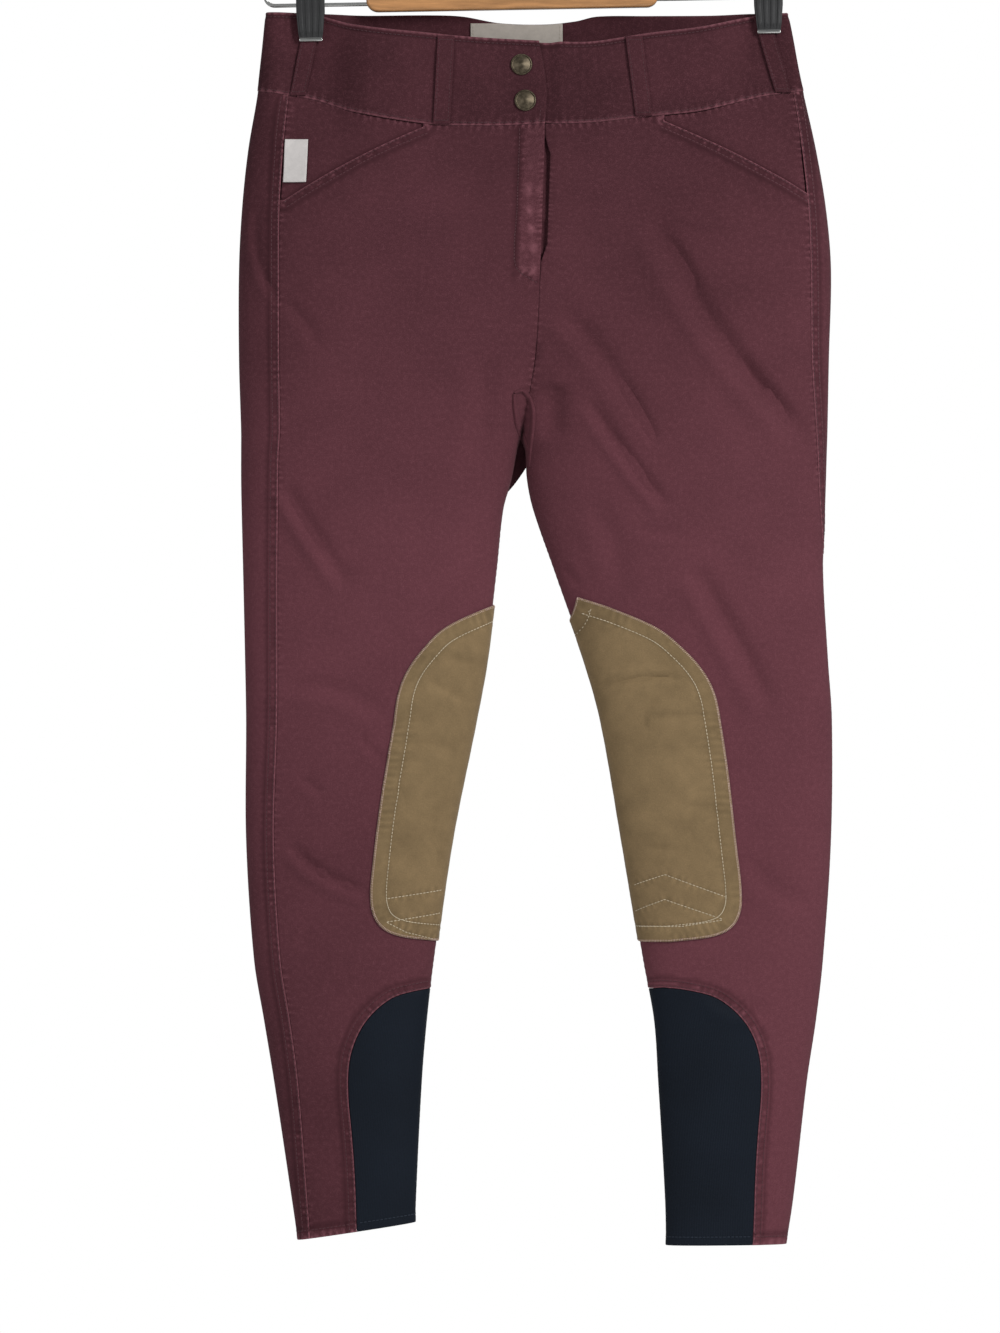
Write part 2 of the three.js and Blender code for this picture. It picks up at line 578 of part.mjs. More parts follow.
// The pocket's facing, which shows above the mouth and tucks in behind the front.
function addPocketFacing(name, side) {
  const pocket = POCKETS[name];
  const levels = LEVELS.filter((level) => level < 175);
  const grid = (extra) =>
    levels.map((level) => {
      return frontAcross(side, level).slice(FACING_FIRST).map((a) => {
        const at = skin(side, level, a);
        return off(side, level, a, facingOff(pocket, at.x, BAND_TOP - at.z) + extra);
      });
    });
  const facing = solidOf(wall(grid(0), grid(-CLOTH)));
  add(`pocket_facing_${name}`, geometryOf(facing.intersect(aboveMouth(side, pocket, FACING_UNDERLAP))), "cloth", 0.85);
}

// The waistband's columns stand over the panels' columns. Its side joints lie under the side belt loops.
const BAND_JOINT = { right: 30, left: 17 };
const JOINT_STEP = 0.0012;

function bandAcross(name, level, part, step) {
  const side = SIDES[name];
  const columns = (at) => [...frontAcross(side, at), ...backAcross(side, at)];
  const joint = acrossOf(side, level, BAND_JOINT[name]);
  const reference = acrossOf(side, BAND_HEIGHT, BAND_JOINT[name]);
  const before = columns(BAND_HEIGHT).filter((a) => a < reference - 0.03).length;
  const skipped = columns(BAND_HEIGHT).filter((a) => a < reference + 0.03).length;
  if (part === "front") return [...columns(level).slice(0, before), joint - step];
  return [joint + step, ...columns(level).slice(skipped)];
}

// The waistband in three parts. The right front laps over the left, which runs on under it.
function bandWall(places, outer, inner, step = JOINT_STEP) {
  const levels = Array.from({ length: BAND_ROWS + 1 }, (_, i) => (BAND_HEIGHT * i) / BAND_ROWS);
  const grid = (distance) => levels.map((level) => places(level, distance, step));
  return wall(grid(outer), grid(inner));
}

const bandPlaces = {
  right(level, distance, step) {
    const across = bandAcross("right", level, "front", step);
    const points = across.map((a) => off(SIDES.right, level, a, distance));
    points[0].x = lapEdgeAt(level);
    return points;
  },
  left(level, distance, step) {
    const lap = UNDERLAP_COLUMNS.map((x) => {
      const drop = mix(topAt.front(x) + 1, seamAt.front(x), level / BAND_HEIGHT);
      const under = -BAND_LAP.inset * (1 - smooth((x - CENTRE - 2) / BAND_LAP.ramp));
      return offAt("front", x, drop, distance + under);
    });
    const body = bandAcross("left", level, "front", step).filter((a) => skin(SIDES.left, level, a).x > 45);
    return [...lap, ...body.map((a) => off(SIDES.left, level, a, distance))];
  },
  back(level, distance, step) {
    const half = (name) =>
      bandAcross(name, level, "back", step).map((a) => off(SIDES[name], level, a, distance));
    return [...half("right"), ...half("left").reverse().slice(1)];
  },
};

function addWaistband() {
  const outer = BAND_PROUD;
  const inner = BAND_PROUD - BAND_CLOTH;
  add("waistband_front_right", bandWall(bandPlaces.right, outer, inner), "cloth", 0.85);
  add("waistband_front_left", bandWall(bandPlaces.left, outer, inner), "cloth", 0.85);
  add("waistband_back", bandWall(bandPlaces.back, outer, inner), "cloth", 0.85);
}

// A strip that lies on a face from one drop to another, with its edges given as x.
function strip(face, rows, outerOff, innerOff) {
  const grid = (distance) => rows.map(({ drop, xs }) => xs.map((x) => offAt(face, x, drop, distance)));
  return wall(grid(outerOff), grid(innerOff));
}

function addBeltLoops() {
  for (const loop of BELT_LOOPS) {
    const count = 6;
    const rows = Array.from({ length: count + 1 }, (_, i) => {
      const t = i / count;
      const x = mix(loop.xTop, loop.xBottom, t);
      const drop = mix(topAt[loop.face](x) + 1.3, seamAt[loop.face](x) - 0.3, t);
      return { drop, xs: [-0.5, 0, 0.5].map((u) => x + u * loop.width) };
    });
    let solid = solidOf(strip(loop.face, rows, BAND_PROUD + GAP + LOOP_CLOTH, BAND_PROUD));
    for (const places of Object.values(bandPlaces)) {
      solid = solid.subtract(solidOf(bandWall(places, BAND_PROUD + GAP, BAND_PROUD - BAND_CLOTH, -0.01)));
    }
    add(loop.name, geometryOf(solid), "cloth", 0.85);
  }
}

// A domed snap cap with a raised rim, standing on the waistband.
function addSnaps() {
  const { radius, height, rim } = SNAP;
  const dome = Array.from({ length: 5 }, (_, i) => {
    const r = (radius - 1.6) * (1 - i / 5);
    return new THREE.Vector2(r, height - 0.9 * (r / radius) ** 2);
  });
  const profile = [
    new THREE.Vector2(0, 0),
    new THREE.Vector2(radius - 0.5, 0),
    new THREE.Vector2(radius, rim * 0.6),
    new THREE.Vector2(radius - 0.3, rim * 1.5),
    new THREE.Vector2(radius - 1.0, rim * 1.9),
    ...dome,
    new THREE.Vector2(0, height),
  ];
  for (const snap of SNAPS) {
    const geometry = new THREE.LatheGeometry(profile, SNAP.sides);
    const place = placeOf("front", snap.x, snap.drop);
    const normal = outward(place.side, place.level, place.across);
    const mesh = add(snap.name, geometry, "brass", 0.4, 0.9);
    mesh.position.copy(off(place.side, place.level, place.across, BAND_PROUD + GAP));
    mesh.quaternion.setFromUnitVectors(new THREE.Vector3(0, 1, 0), normal);
  }
}

// The shield behind the fly's opening, with a rounded lower end.
function addFlyShield() {
  const { left, right, top, bottom } = FLY_SHIELD;
  const count = 8;
  const rows = Array.from({ length: count + 1 }, (_, i) => {
    const drop = mix(top, bottom, i / count);
    const rounding = 16 * smooth((i / count - 0.75) / 0.25);
    return { drop, xs: [0, 0.25, 0.5, 0.75, 1].map((u) => mix(left + rounding, right, u)) };
  });
  const outer = -(CLOTH + FLY_DIP.depth + GAP);
  add("fly_shield", strip("front", rows, outer, outer - SHIELD_CLOTH), "cloth", 0.85);
}

function addLabels() {
  const tab = SIDE_LABEL;
  const pocket = POCKETS.right;
  const grid = (extra) =>
    Array.from({ length: 5 }, (_, i) => {
      const drop = mix(tab.top, tab.bottom, i / 4);
      return Array.from({ length: 4 }, (_, j) => {
        const x = mix(tab.x0, tab.x1, j / 3) - 1.5 * (i / 4);
        return offAt("front", x, drop, facingOff(pocket, x, drop) + extra);
      });
    });
  add("side_label", wall(grid(2 * GAP + LABEL_CLOTH), grid(2 * GAP)), "tab", 0.8);
  const inside = BAND_PROUD - BAND_CLOTH - GAP;
  const rows = Array.from({ length: 5 }, (_, i) => ({
    drop: mix(BACK_LABEL.top, BACK_LABEL.bottom, i / 4),
    xs: Array.from({ length: 7 }, (_, j) => mix(BACK_LABEL.x0, BACK_LABEL.x1, j / 6)),
  }));
  add("back_label", strip("back", rows, inside, inside - LABEL_CLOTH), "label", 0.8);
}

// The hanger, in its own frame with the hook's crown at the origin.
const BAR = { half: 111, top: -73, bottom: -108.5, depth: 14, bevel: 2.5, corner: 9 };
const HOOK = { wire: 1.9, inner: 20, neckTop: -52, sunk: 16 };
const ARM = { wire: 1.5, lower: -102.4, upper: -88.4, sunk: 12, rightEnd: 187.5, leftEnd: 224 };
const JAW = { bottom: -130.3, lip: 2.2, lipDepth: 2.6, lipWidth: 18, plate: 1.2, ribs: 4, rib: 0.7 };
// A grip's plate at steps up from the jaw's bottom: how far out it stands, its width and its thickness.
const GRIP = [
  { up: 2.6, out: 2.0, width: 17.6, thick: 0.9 },
  { up: 7, out: 2.4, width: 19, thick: 1.3 },
  { up: 22, out: 2.4, width: 21.5, thick: 1.3 },
  { up: 36, out: 3.2, width: 21.5, thick: 1.3 },
  { up: 47, out: 5.6, width: 19, thick: 1.1 },
];
const JAW_FRONT = PINCH.depth + BAND_PROUD + GAP + LOOP_CLOTH + GAP;
const JAW_BACK = PINCH.depth + BAND_PROUD + GAP;
const ARM_Y = (JAW_BACK - JAW_FRONT) / 2;

function rod(points, radius, sides, steps, closed = false) {
  const path = new THREE.CatmullRomCurve3(points, closed, "centripetal");
  const section = new THREE.Shape(
    Array.from({ length: sides }, (_, i) => {
      const angle = (2 * Math.PI * i) / sides;
      return new THREE.Vector2(radius * Math.cos(angle), radius * Math.sin(angle));
    }),
  );
  return new THREE.ExtrudeGeometry(section, { steps, extrudePath: path, bevelEnabled: false });
}

function addHanger() {
  const hanger = new THREE.Group();
  hanger.rotation.y = -HANGER_TILT;
  breeches.add(hanger);

  // The bar, with a bore for the hook's neck and two in each end for the arms.
  const height = BAR.top - BAR.bottom;
  const shape = new THREE.Shape();
  const half = BAR.half - BAR.bevel;
  const low = BAR.bottom + BAR.bevel;
  const high = BAR.top - BAR.bevel;
  shape.moveTo(-half + BAR.corner, low);
  shape.lineTo(half - BAR.corner, low);
  shape.absarc(half - BAR.corner, low + BAR.corner, BAR.corner, -Math.PI / 2, 0);
  shape.absarc(half - BAR.corner, high - BAR.corner, BAR.corner, 0, Math.PI / 2);
  shape.absarc(-half + BAR.corner, high - BAR.corner, BAR.corner, Math.PI / 2, Math.PI);
  shape.absarc(-half + BAR.corner, low + BAR.corner, BAR.corner, Math.PI, 1.5 * Math.PI);
  const bar = new THREE.ExtrudeGeometry(shape, {
    depth: BAR.depth - 2 * BAR.bevel,
    bevelThickness: BAR.bevel,
    bevelSize: BAR.bevel,
    bevelSegments: 2,
    curveSegments: 3,
  });
  bar.translate(0, 0, -(BAR.depth - 2 * BAR.bevel) / 2);
  bar.rotateX(Math.PI / 2);
  let block = solidOf(bar);
  const bore = (radius, depth, place) => {
    const geometry = new THREE.CylinderGeometry(radius, radius, depth, 12);
    place(geometry);
    block = block.subtract(solidOf(geometry));
  };
  bore(HOOK.wire + GAP, HOOK.sunk + 10, (g) => g.rotateX(Math.PI / 2).translate(0, 0, BAR.top - HOOK.sunk / 2 + 5));
  for (const end of [-1, 1]) {
    for (const z of [ARM.lower, ARM.upper]) {
      bore(ARM.wire + GAP, ARM.sunk + 10, (g) =>
        g.rotateZ(Math.PI / 2).translate(end * (BAR.half - ARM.sunk / 2 + 5), ARM_Y, z),
      );
    }
  }
  add("hanger_bar", geometryOf(block), "wood", 0.45, 0, hanger);

  // The hook: a straight neck, a turn out to the side, and three quarters of a circle over the rail.
  const r = HOOK.inner + HOOK.wire;
  const hookPoints = [new THREE.Vector3(0, 0, BAR.top - HOOK.sunk + GAP), new THREE.Vector3(0, 0, HOOK.neckTop - 6)];
  hookPoints.push(new THREE.Vector3(1.5, 0, HOOK.neckTop + 2));
  for (let angle = -45; angle <= 205; angle += 25) {
    const a = THREE.MathUtils.degToRad(angle);
    hookPoints.push(new THREE.Vector3(r * Math.cos(a), 0, -HOOK.inner + r * Math.sin(a)));
  }
  add("hanger_hook", rod(hookPoints, HOOK.wire, 8, 30), "steel", 0.25, 1, hanger);

  // The arms: wire loops out of the bar's ends, with a clip on each.
  for (const arm of [
    { name: "right", sign: -1, end: ARM.rightEnd },
    { name: "left", sign: 1, end: ARM.leftEnd },
  ]) {
    const start = BAR.half - ARM.sunk + GAP;
    const turn = (ARM.upper - ARM.lower) / 2;
    const middle = (ARM.upper + ARM.lower) / 2;
    const points = [new THREE.Vector3(arm.sign * start, ARM_Y, ARM.lower)];
    points.push(new THREE.Vector3(arm.sign * mix(start, arm.end - turn, 0.5), ARM_Y, ARM.lower));
    for (let angle = -90; angle <= 90; angle += 30) {
      const a = THREE.MathUtils.degToRad(angle);
      const x = arm.sign * (arm.end - turn + turn * Math.cos(a));
      points.push(new THREE.Vector3(x, ARM_Y, middle + turn * Math.sin(a)));
    }
    points.push(new THREE.Vector3(arm.sign * mix(start, arm.end - turn, 0.5), ARM_Y, ARM.upper));
    points.push(new THREE.Vector3(arm.sign * start, ARM_Y, ARM.upper));
    add(`hanger_arm_${arm.name}`, rod(points, ARM.wire, 8, 26), "steel", 0.25, 1, hanger);
  }
  for (const clip of CLIPS) addClip(clip, hanger);
}

// A clip: a steel jaw piece folded over the arm, with a ribbed grip on its front and on its back.
function addClip(clip, hanger) {
  const x = clip.x + JAW.bottom * Math.sin(HANGER_TILT);
  const reach = (JAW_FRONT + JAW_BACK) / 2;
  const crown = ARM.lower + ARM.wire + GAP;
  const half = [
    [0, crown + JAW.plate],
    [3.2, crown + JAW.plate - 0.3],
    [reach + 2, crown - 5.5],
    [reach + 2, JAW.bottom + 6.5],
    [reach + JAW.plate, JAW.bottom + JAW.lip + 0.1],
    [reach + JAW.lipDepth, JAW.bottom + JAW.lip],
    [reach + JAW.lipDepth, JAW.bottom],
    [reach, JAW.bottom],
    [reach, JAW.bottom + JAW.lip],
    [reach + 0.8, JAW.bottom + 6],
    [reach + 0.8, crown - 6],
    [2.4, crown],
  ];
  const outline = half.map(([u, z]) => new THREE.Vector2(u, z));
  const mirrored = half.slice(1).reverse().map(([u, z]) => new THREE.Vector2(-u, z));
  const jaws = new THREE.ExtrudeGeometry(new THREE.Shape([...outline, ...mirrored]), {
    depth: JAW.lipWidth,
    bevelEnabled: false,
  });
  jaws.rotateX(Math.PI / 2);
  jaws.rotateZ(Math.PI / 2);
  jaws.translate(x - JAW.lipWidth / 2, ARM_Y, 0);
  add(`clip_${clip.name}_jaws`, jaws, "steel", 0.3, 1, hanger);

  for (const face of ["front", "back"]) {
    const sign = face === "front" ? -1 : 1;
    const grip = new THREE.ExtrudeGeometry(gripSection(), { depth: 1, steps: 4, bevelEnabled: false });
    const p = grip.attributes.position;
    for (let i = 0; i < p.count; i++) {
      const step = GRIP[Math.round(p.getZ(i) * 4)];
      const out = reach + step.out + p.getY(i) * step.thick;
      p.setXYZ(i, x + p.getX(i) * step.width, ARM_Y + sign * out, JAW.bottom + step.up);
    }
    grip.setIndex([...p.array.keys()].slice(0, p.count));
    add(`clip_${clip.name}_grip_${face}`, facingOut(grip), "grip", 0.5, 0, hanger);
  }
}

// A grip's cross-section: a unit-wide plate with ribs standing on it.
function gripSection() {
  const points = [new THREE.Vector2(-0.5, 0), new THREE.Vector2(0.5, 0), new THREE.Vector2(0.5, 1)];
  for (let k = JAW.ribs - 1; k >= 0; k--) {
    const middle = (k + 0.5) / JAW.ribs - 0.5;
    const foot = 0.3 / JAW.ribs;
    const top = 0.16 / JAW.ribs;
    points.push(new THREE.Vector2(middle + foot, 1), new THREE.Vector2(middle + top, 1 + JAW.rib));
    points.push(new THREE.Vector2(middle - top, 1 + JAW.rib), new THREE.Vector2(middle - foot, 1));
  }
  points.push(new THREE.Vector2(-0.5, 1));
  return new THREE.Shape(points);
}

addPanels("right", SIDES.right);
addPanels("left", SIDES.left);
addPatches("right", SIDES.right);
addPatches("left", SIDES.left);
addPocketFacing("right", SIDES.right);
addPocketFacing("left", SIDES.left);
addWaistband();
addBeltLoops();
addSnaps();
addFlyShield();
addLabels();
addHanger();

export default breeches;
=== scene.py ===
"""Riding breeches hung by two clips from a wooden hanger: cloth, sewing, hanger, finishes and a studio."""

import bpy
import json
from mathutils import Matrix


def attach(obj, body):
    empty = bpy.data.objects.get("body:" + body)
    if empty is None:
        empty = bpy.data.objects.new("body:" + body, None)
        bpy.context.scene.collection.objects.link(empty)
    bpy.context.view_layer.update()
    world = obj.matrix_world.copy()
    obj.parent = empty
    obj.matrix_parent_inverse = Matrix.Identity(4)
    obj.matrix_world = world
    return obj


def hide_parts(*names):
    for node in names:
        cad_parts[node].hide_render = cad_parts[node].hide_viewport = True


bl_info = {
    "name": "Riding breeches on a clip hanger",
    "version": (1, 0, 0),
    "blender": (4, 5, 0),
    "location": "View3D > Sidebar > Breeches",
    "description": "Makes riding breeches in sewn pieces, the hanger that holds them and a plain studio",
    "category": "Object",
}

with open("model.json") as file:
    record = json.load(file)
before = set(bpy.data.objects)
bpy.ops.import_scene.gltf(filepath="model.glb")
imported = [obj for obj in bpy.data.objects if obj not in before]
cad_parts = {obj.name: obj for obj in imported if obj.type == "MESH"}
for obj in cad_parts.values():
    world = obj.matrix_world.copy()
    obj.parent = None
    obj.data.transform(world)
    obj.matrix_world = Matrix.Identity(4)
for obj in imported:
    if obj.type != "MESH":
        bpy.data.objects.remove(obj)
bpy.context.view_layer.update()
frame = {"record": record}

import json
import math

import bmesh
import bpy
import numpy as np
from bpy.props import FloatProperty, FloatVectorProperty, PointerProperty
from bpy.types import Operator, Panel, PropertyGroup
from mathutils import Matrix, Vector
from mathutils.geometry import delaunay_2d_cdt
from mathutils.kdtree import KDTree

MM = 0.001
COLOUR = {slot["slot"]: tuple(slot["base_color"][:3]) for slot in frame["record"]["materials"]}

# The garment's sizes in millimetres. A drop is a distance below the waistband's side corners.
BAND_TOP = -110.2
BAND_HEIGHT = 60
LENGTH = 933
CROTCH = 319
FORK_START = {"front": 205, "back": 185}
FLY_BOTTOM = 196
CENTRE = 26.6
PATCH_TOP = 445
CALF_TOP = 741

# Cloth thicknesses and gaps, as in the construction.
CLOTH = 1.3
BAND_CLOTH = 2.4
BAND_PROUD = 0.5
PATCH_CLOTH = 1.4
LABEL_CLOTH = 1.0
LOOP_CLOTH = 1.5
SHIELD_CLOTH = 1.2
GAP = 0.3

# Outline and depth: drop, right out, right in, left in, left out, front, back, round, fork,
# right seam, left seam.
SECTIONS = [
    (0, -185, 26.6, 26.6, 210.5, 11, 12, 55, 40, 24, 8),
    (60, -191.5, 26.6, 26.6, 222.7, 20, 22, 75, 40, 24, 8),
    (105, -199, 26, 26, 232.6, 25, 29, 90, 40, 27, 11),
    (150, -203.7, 24.5, 24.5, 240.2, 29, 35, 100, 40, 29, 14),
    (196, -206, 22.8, 22.8, 244, 31, 38, 105, 42, 31, 16),
    (264, -206, 19, 19, 242.4, 31, 37, 110, 55, 31, 13.5),
    (319, -204.4, 9.2, 9.2, 241.3, 30, 34, 110, 70, 30, 9),
    (335, -204.4, 5.2, 11.6, 240.8, 29.5, 32, 110, 78, 29, 7.5),
    (356, -204.4, 1, 12.9, 240.2, 29, 31, 110, 86, 28.5, 6),
    (378, -204, -5, 17.5, 239.5, 28, 30, 110, 95, 28, 4),
    (424, -202.9, -10, 33.4, 238, 27, 28, 110, 110, 26.5, -1.5),
    (492, -201.4, -18.2, 57, 241.7, 26, 27, 110, 110, 25, -5),
    (538, -200.6, -26.6, 69.9, 244.7, 25.5, 26.5, 110, 110, 24, -7),
    (629, -200.6, -44.8, 85.9, 244, 24, 25, 110, 110, 21.5, -8),
    (720, -194.6, -57.8, 101.1, 237.9, 22, 24, 110, 110, 20.5, -8),
    (766, -187, -63.1, 109.4, 232.6, 21, 23, 110, 110, 20, -8),
    (812, -179.4, -66.9, 112.5, 225.7, 20, 22, 110, 110, 18.5, -8),
    (903, -165.7, -71.4, 117.8, 215.1, 17, 18, 110, 110, 12, -8),
    (945, -159.6, -72.4, 118.6, 208.4, 16, 17, 110, 110, 9, -8),
]
# The waistband's edges: x, top, seam, top of the back.
BAND_EDGE = [
    (-195, 0, 60, 0),
    (-150, 2, 67, 1.2),
    (-118, 10, 77, 2),
    (-60, 16.5, 86.5, 1.6),
    (-36, 18.9, 87.3, 2.6),
    (-8, 20.8, 87.4, 7.6),
    (26, 22.5, 86, 8.6),
    (50, 23.3, 85.6, 6.2),
    (66, 22.6, 84.8, 2.6),
    (105, 16.5, 80.5, 2.2),
    (146, 11.5, 76, 2),
    (190, 2.5, 65, 1.2),
    (226, 0, 60, 0),
]
# The suede knee patch: distance below its peak, reach to the front, reach to the back.
KNEE_PATCH = [
    (0, 0.5, 0.5),
    (9, 24, 6),
    (23, 51, 16),
    (38, 65, 27),
    (55, 75, 38),
    (73, 79, 47),
    (100, 78, 55),
    (140, 76.5, 58),
    (193, 73.6, 57),
    (222, 72, 56),
    (238, 68.5, 52),
    (250, 60, 43),
    (257, 44, 28),
    (261, 12, 8),
]
# The stretch panel of the lower leg: distance below its top, reach to either side.
CALF_PANEL = [
    (0, 1),
    (1.5, 16),
    (6, 35),
    (13, 46),
    (22, 54.5),
    (32, 60.5),
    (45, 65),
    (60, 67),
    (82, 66),
    (110, 62),
    (139, 58.5),
    (170, 56),
    (230, 53),
]
LAP_EDGE = [(0, 22), (20, 25.9), (40, 28), (60, 26.4)]
POCKETS = {"right": (-66, 88.5, -171, 144, 3), "left": (117, 84, 226, 139, 2)}
FACING_UNDERLAP = 18
CLIP_X = {"right": -151.2, "left": 196.8}
BELT_LOOPS = [
    ("belt_loop_side_right", "front", -149, -161.5, 12.5),
    ("belt_loop_front_right", "front", -48.5, -52, 13),
    ("belt_loop_front_left", "front", 94, 101.5, 13),
    ("belt_loop_side_left", "front", 191, 207.5, 12.5),
    ("belt_loop_back", "back", 17, 17, 13),
]
SNAPS = {"snap_upper": (8.7, 41), "snap_lower": (11.6, 68.4)}

# Creases: x and drop of start, middle and end, then width, depth and the height of the heap beside them.
# A heap lies on the lower left of a line that falls to the right, and on its other side if less than 0.
FRONT_CREASES = [
    (106, 152, 158, 246, 234, 334, 9, 5.5, 2.2),
    (118, 172, 132, 192, 143, 215, 5, 2, 1),
    (172, 262, 191, 288, 214, 313, 6, 3, 1.5),
    (36, 225, 72, 266, 110, 327, 8, 3.6, 1.8),
    (82, 281, 99, 308, 111, 329, 3.6, 2.6, 1.4),
    (58.5, 295.5, 92, 343, 119.2, 375.3, 5, 3.6, 2),
    (97, 394, 113, 395.5, 129, 394, 5, 1.4, 0.6),
    (138, 420, 168, 472, 199, 532, 8, 4, 2),
    (33, 283, 32, 304, 33, 326, 10, 6, 0),
    (52, 436, 46, 429, 39, 420, 3.5, 1.5, 0.5),
    (120, 150, 147, 163, 182, 154, 4, -1.3, 0),
    (-171, 359, -150, 394, -120, 439, 6, 2.8, 2.4),
    (-21, 258, -20, 322, -27, 384, 10, 2.6, 0.8),
    (-190.5, 145.5, -191.5, 185, -174.5, 222, 3.5, 2.6, 1.2),
    (-174.5, 219, -156, 236, -143, 257, 5, 1.6, 0.6),
    (21.8, 251, 14, 268, 4.3, 283, 4, 2.2, -1),
    (-166, 631, -144, 653, -106, 669, 4.5, 3.2, 2),
    (-115, 551, -106, 559, -96.5, 571.5, 3.5, 1.8, 0.8),
    (-172, 518, -138, 513, -90, 537, 7, 2, 1),
    (-159, 581, -150, 588, -140.5, 593.5, 4, 1.3, 0.6),
    (-150, 697, -155, 703, -160, 712, 4, 1.2, 0.5),
    (-121, 717, -130, 730, -138, 743, 4, 1.3, 0.6),
    (-58, 724, -65, 735, -72, 746, 4, 1.6, 0.7),
    (-63, 506, -46, 517.6, -25, 527, 4, 2, 1),
    (-49, 488.5, -33, 494.5, -20, 491, 3.6, 1.8, -1),
    (-93, 553, -65, 556, -37, 562, 4.5, 1.6, 0.8),
    (-87, 581, -83, 592, -78, 603, 4, 1.4, 0.6),
    (65, 515, 97, 507, 131, 505.5, 2.8, 2.1, -1.3),
    (102, 546, 104, 531, 114, 523, 3.2, 1.7, 0.8),
    (105, 537, 127, 535, 152, 535, 3.4, 1.3, -0.7),
    (101, 634, 115, 636, 130, 636, 3.2, 1.4, 0.6),
    (122, 598, 141, 604, 156, 603, 5, 1.3, 0.5),
    (-18, 420, -40, 452, -70, 470, 9, 1.6, 0.6),
    (60, 372, 78, 402, 84, 440, 9, 1.8, 0.8),
    (176, 640, 204, 668, 228, 676, 8, 1.8, 0.8),
    (150, 742, 170, 756, 196, 756, 6, 1.4, 0.6),
    (-120, 818, -138, 830, -152, 850, 6, 1.6, 0.8),
    (-104, 560, -84, 542, -60, 540, 7, 1.6, 0.8),
]
BACK_CREASES = [
    (0, 280, -40, 330, -100, 374, 10, 5, 2),
    (36, 276, 74, 326, 130, 366, 11, 5, -2),
    (-30, 322, -84, 366, -152, 410, 8, 3.6, 1.6),
    (60, 318, 112, 372, 176, 402, 8, 3, -1.4),
    (84, 560, 136, 548, 196, 538, 9, 4, 1.6),
    (100, 590, 146, 584, 206, 566, 6, 2.6, 1.2),
    (-60, 575, -110, 566, -168, 548, 9, 4, -1.6),
    (-74, 604, -118, 606, -160, 590, 6, 2.4, -1),
    (24, 232, 20, 262, 24, 300, 10, 3, 0),
    (-150, 180, -176, 212, -190, 250, 7, 2.6, 1),
    (186, 190, 212, 226, 230, 268, 8, 3, -1.2),
    (-110, 700, -140, 716, -172, 716, 7, 2, 1),
    (128, 720, 160, 738, 204, 736, 7, 2.2, 1),
    (-90, 790, -112, 812, -142, 820, 6, 1.6, 0.8),
    (140, 812, 166, 830, 196, 830, 6, 1.6, 0.8),
    (-60, 440, -72, 480, -70, 520, 9, 2, 0.8),
    (110, 430, 120, 470, 112, 510, 9, 2, 0.8),
]


def mix(a, b, t):
    return a + (b - a) * t


def smooth(t):
    t = np.clip(t, 0, 1)
    return t * t * (3 - 2 * t)


def bell(t):
    """A soft hump that is 1 at 0."""
    return np.exp(-(t * t))


def along(rows, column):
    """A column of a table as a smooth function of its first column."""
    t = np.array([row[0] for row in rows], float)
    v = np.array([row[column] for row in rows], float)
    before = np.maximum(np.arange(len(t)) - 1, 0)
    after = np.minimum(np.arange(len(t)) + 1, len(t) - 1)
    slope = (v[after] - v[before]) / (t[after] - t[before])

    def at(x):
        x = np.clip(x, t[0], t[-1])
        i = np.clip(np.searchsorted(t, x, side="right") - 1, 0, len(t) - 2)
        span = t[i + 1] - t[i]
        u = (x - t[i]) / span
        bend = (u**3 - 2 * u * u + u) * slope[i] + (u**3 - u * u) * slope[i + 1]
        return v[i] + (3 * u * u - 2 * u**3) * (v[i + 1] - v[i]) + bend * span

    return at


RIGHT_IN = along(SECTIONS, 2)
TOP = {"front": along(BAND_EDGE, 1), "back": along(BAND_EDGE, 3)}
SEAM = {"front": along(BAND_EDGE, 2), "back": lambda x: np.full(np.shape(x), float(BAND_HEIGHT))}
DEPTH = {"front": along(SECTIONS, 5), "back": along(SECTIONS, 6)}
ROUND = along(SECTIONS, 7)
FORK = along(SECTIONS, 8)
LAP = along(LAP_EDGE, 1)


class Half:
    """One half of the garment: its folds, its side seam and how its hem and patches are turned."""

    def __init__(self, name, sign, out, inner, seam, patch_turn, calf_turn, hem_out, hem_in):
        self.name, self.sign = name, sign
        self.out = along(SECTIONS, out)
        self.inner = along(SECTIONS, inner)
        self.seam = along(SECTIONS, seam)
        self.patch_turn, self.calf_turn = patch_turn, calf_turn
        self.hem_out, self.hem_in = hem_out, hem_in

    def width(self, drop):
        return np.abs(self.out(drop) - self.inner(drop))

    def seam_across(self, level, seam=None):
        """How far round a line lies that is some distance in front of the side fold."""
        seam = self.seam(level) if seam is None else seam
        a = np.arccos(1 - 2 * (1 - np.abs(seam) / self.width(level))) / np.pi
        return np.where(seam >= 0, a, 2 - a)


HALVES = {
    "right": Half("right", -1, 1, 2, 9, -17, -11, 0, -13.5),
    "left": Half("left", 1, 4, 3, 10, 11, 11, 3, 4),
}


def bulge(distance, length):
    """How far the cloth bulges at a distance from a fold, as a share of its full depth."""
    t = np.clip(1 - distance / length, 0, 1)
    return (1 - t**2.3) ** (1 / 2.3)


def openness(face, drop):
    t = np.clip((drop - FORK_START[face]) / (CROTCH - FORK_START[face]), 0, 1)
    return np.sqrt(1 - t * t)


# How the clips press the cloth: a clip's half width, where the cloth is free again, and its half depth.
CLIP_HALF = 12
PINCH_OUTWARD = 20
PINCH_INWARD = 34
PINCH_FROM, PINCH_FALL = 26, 95
PINCHED = 2.7


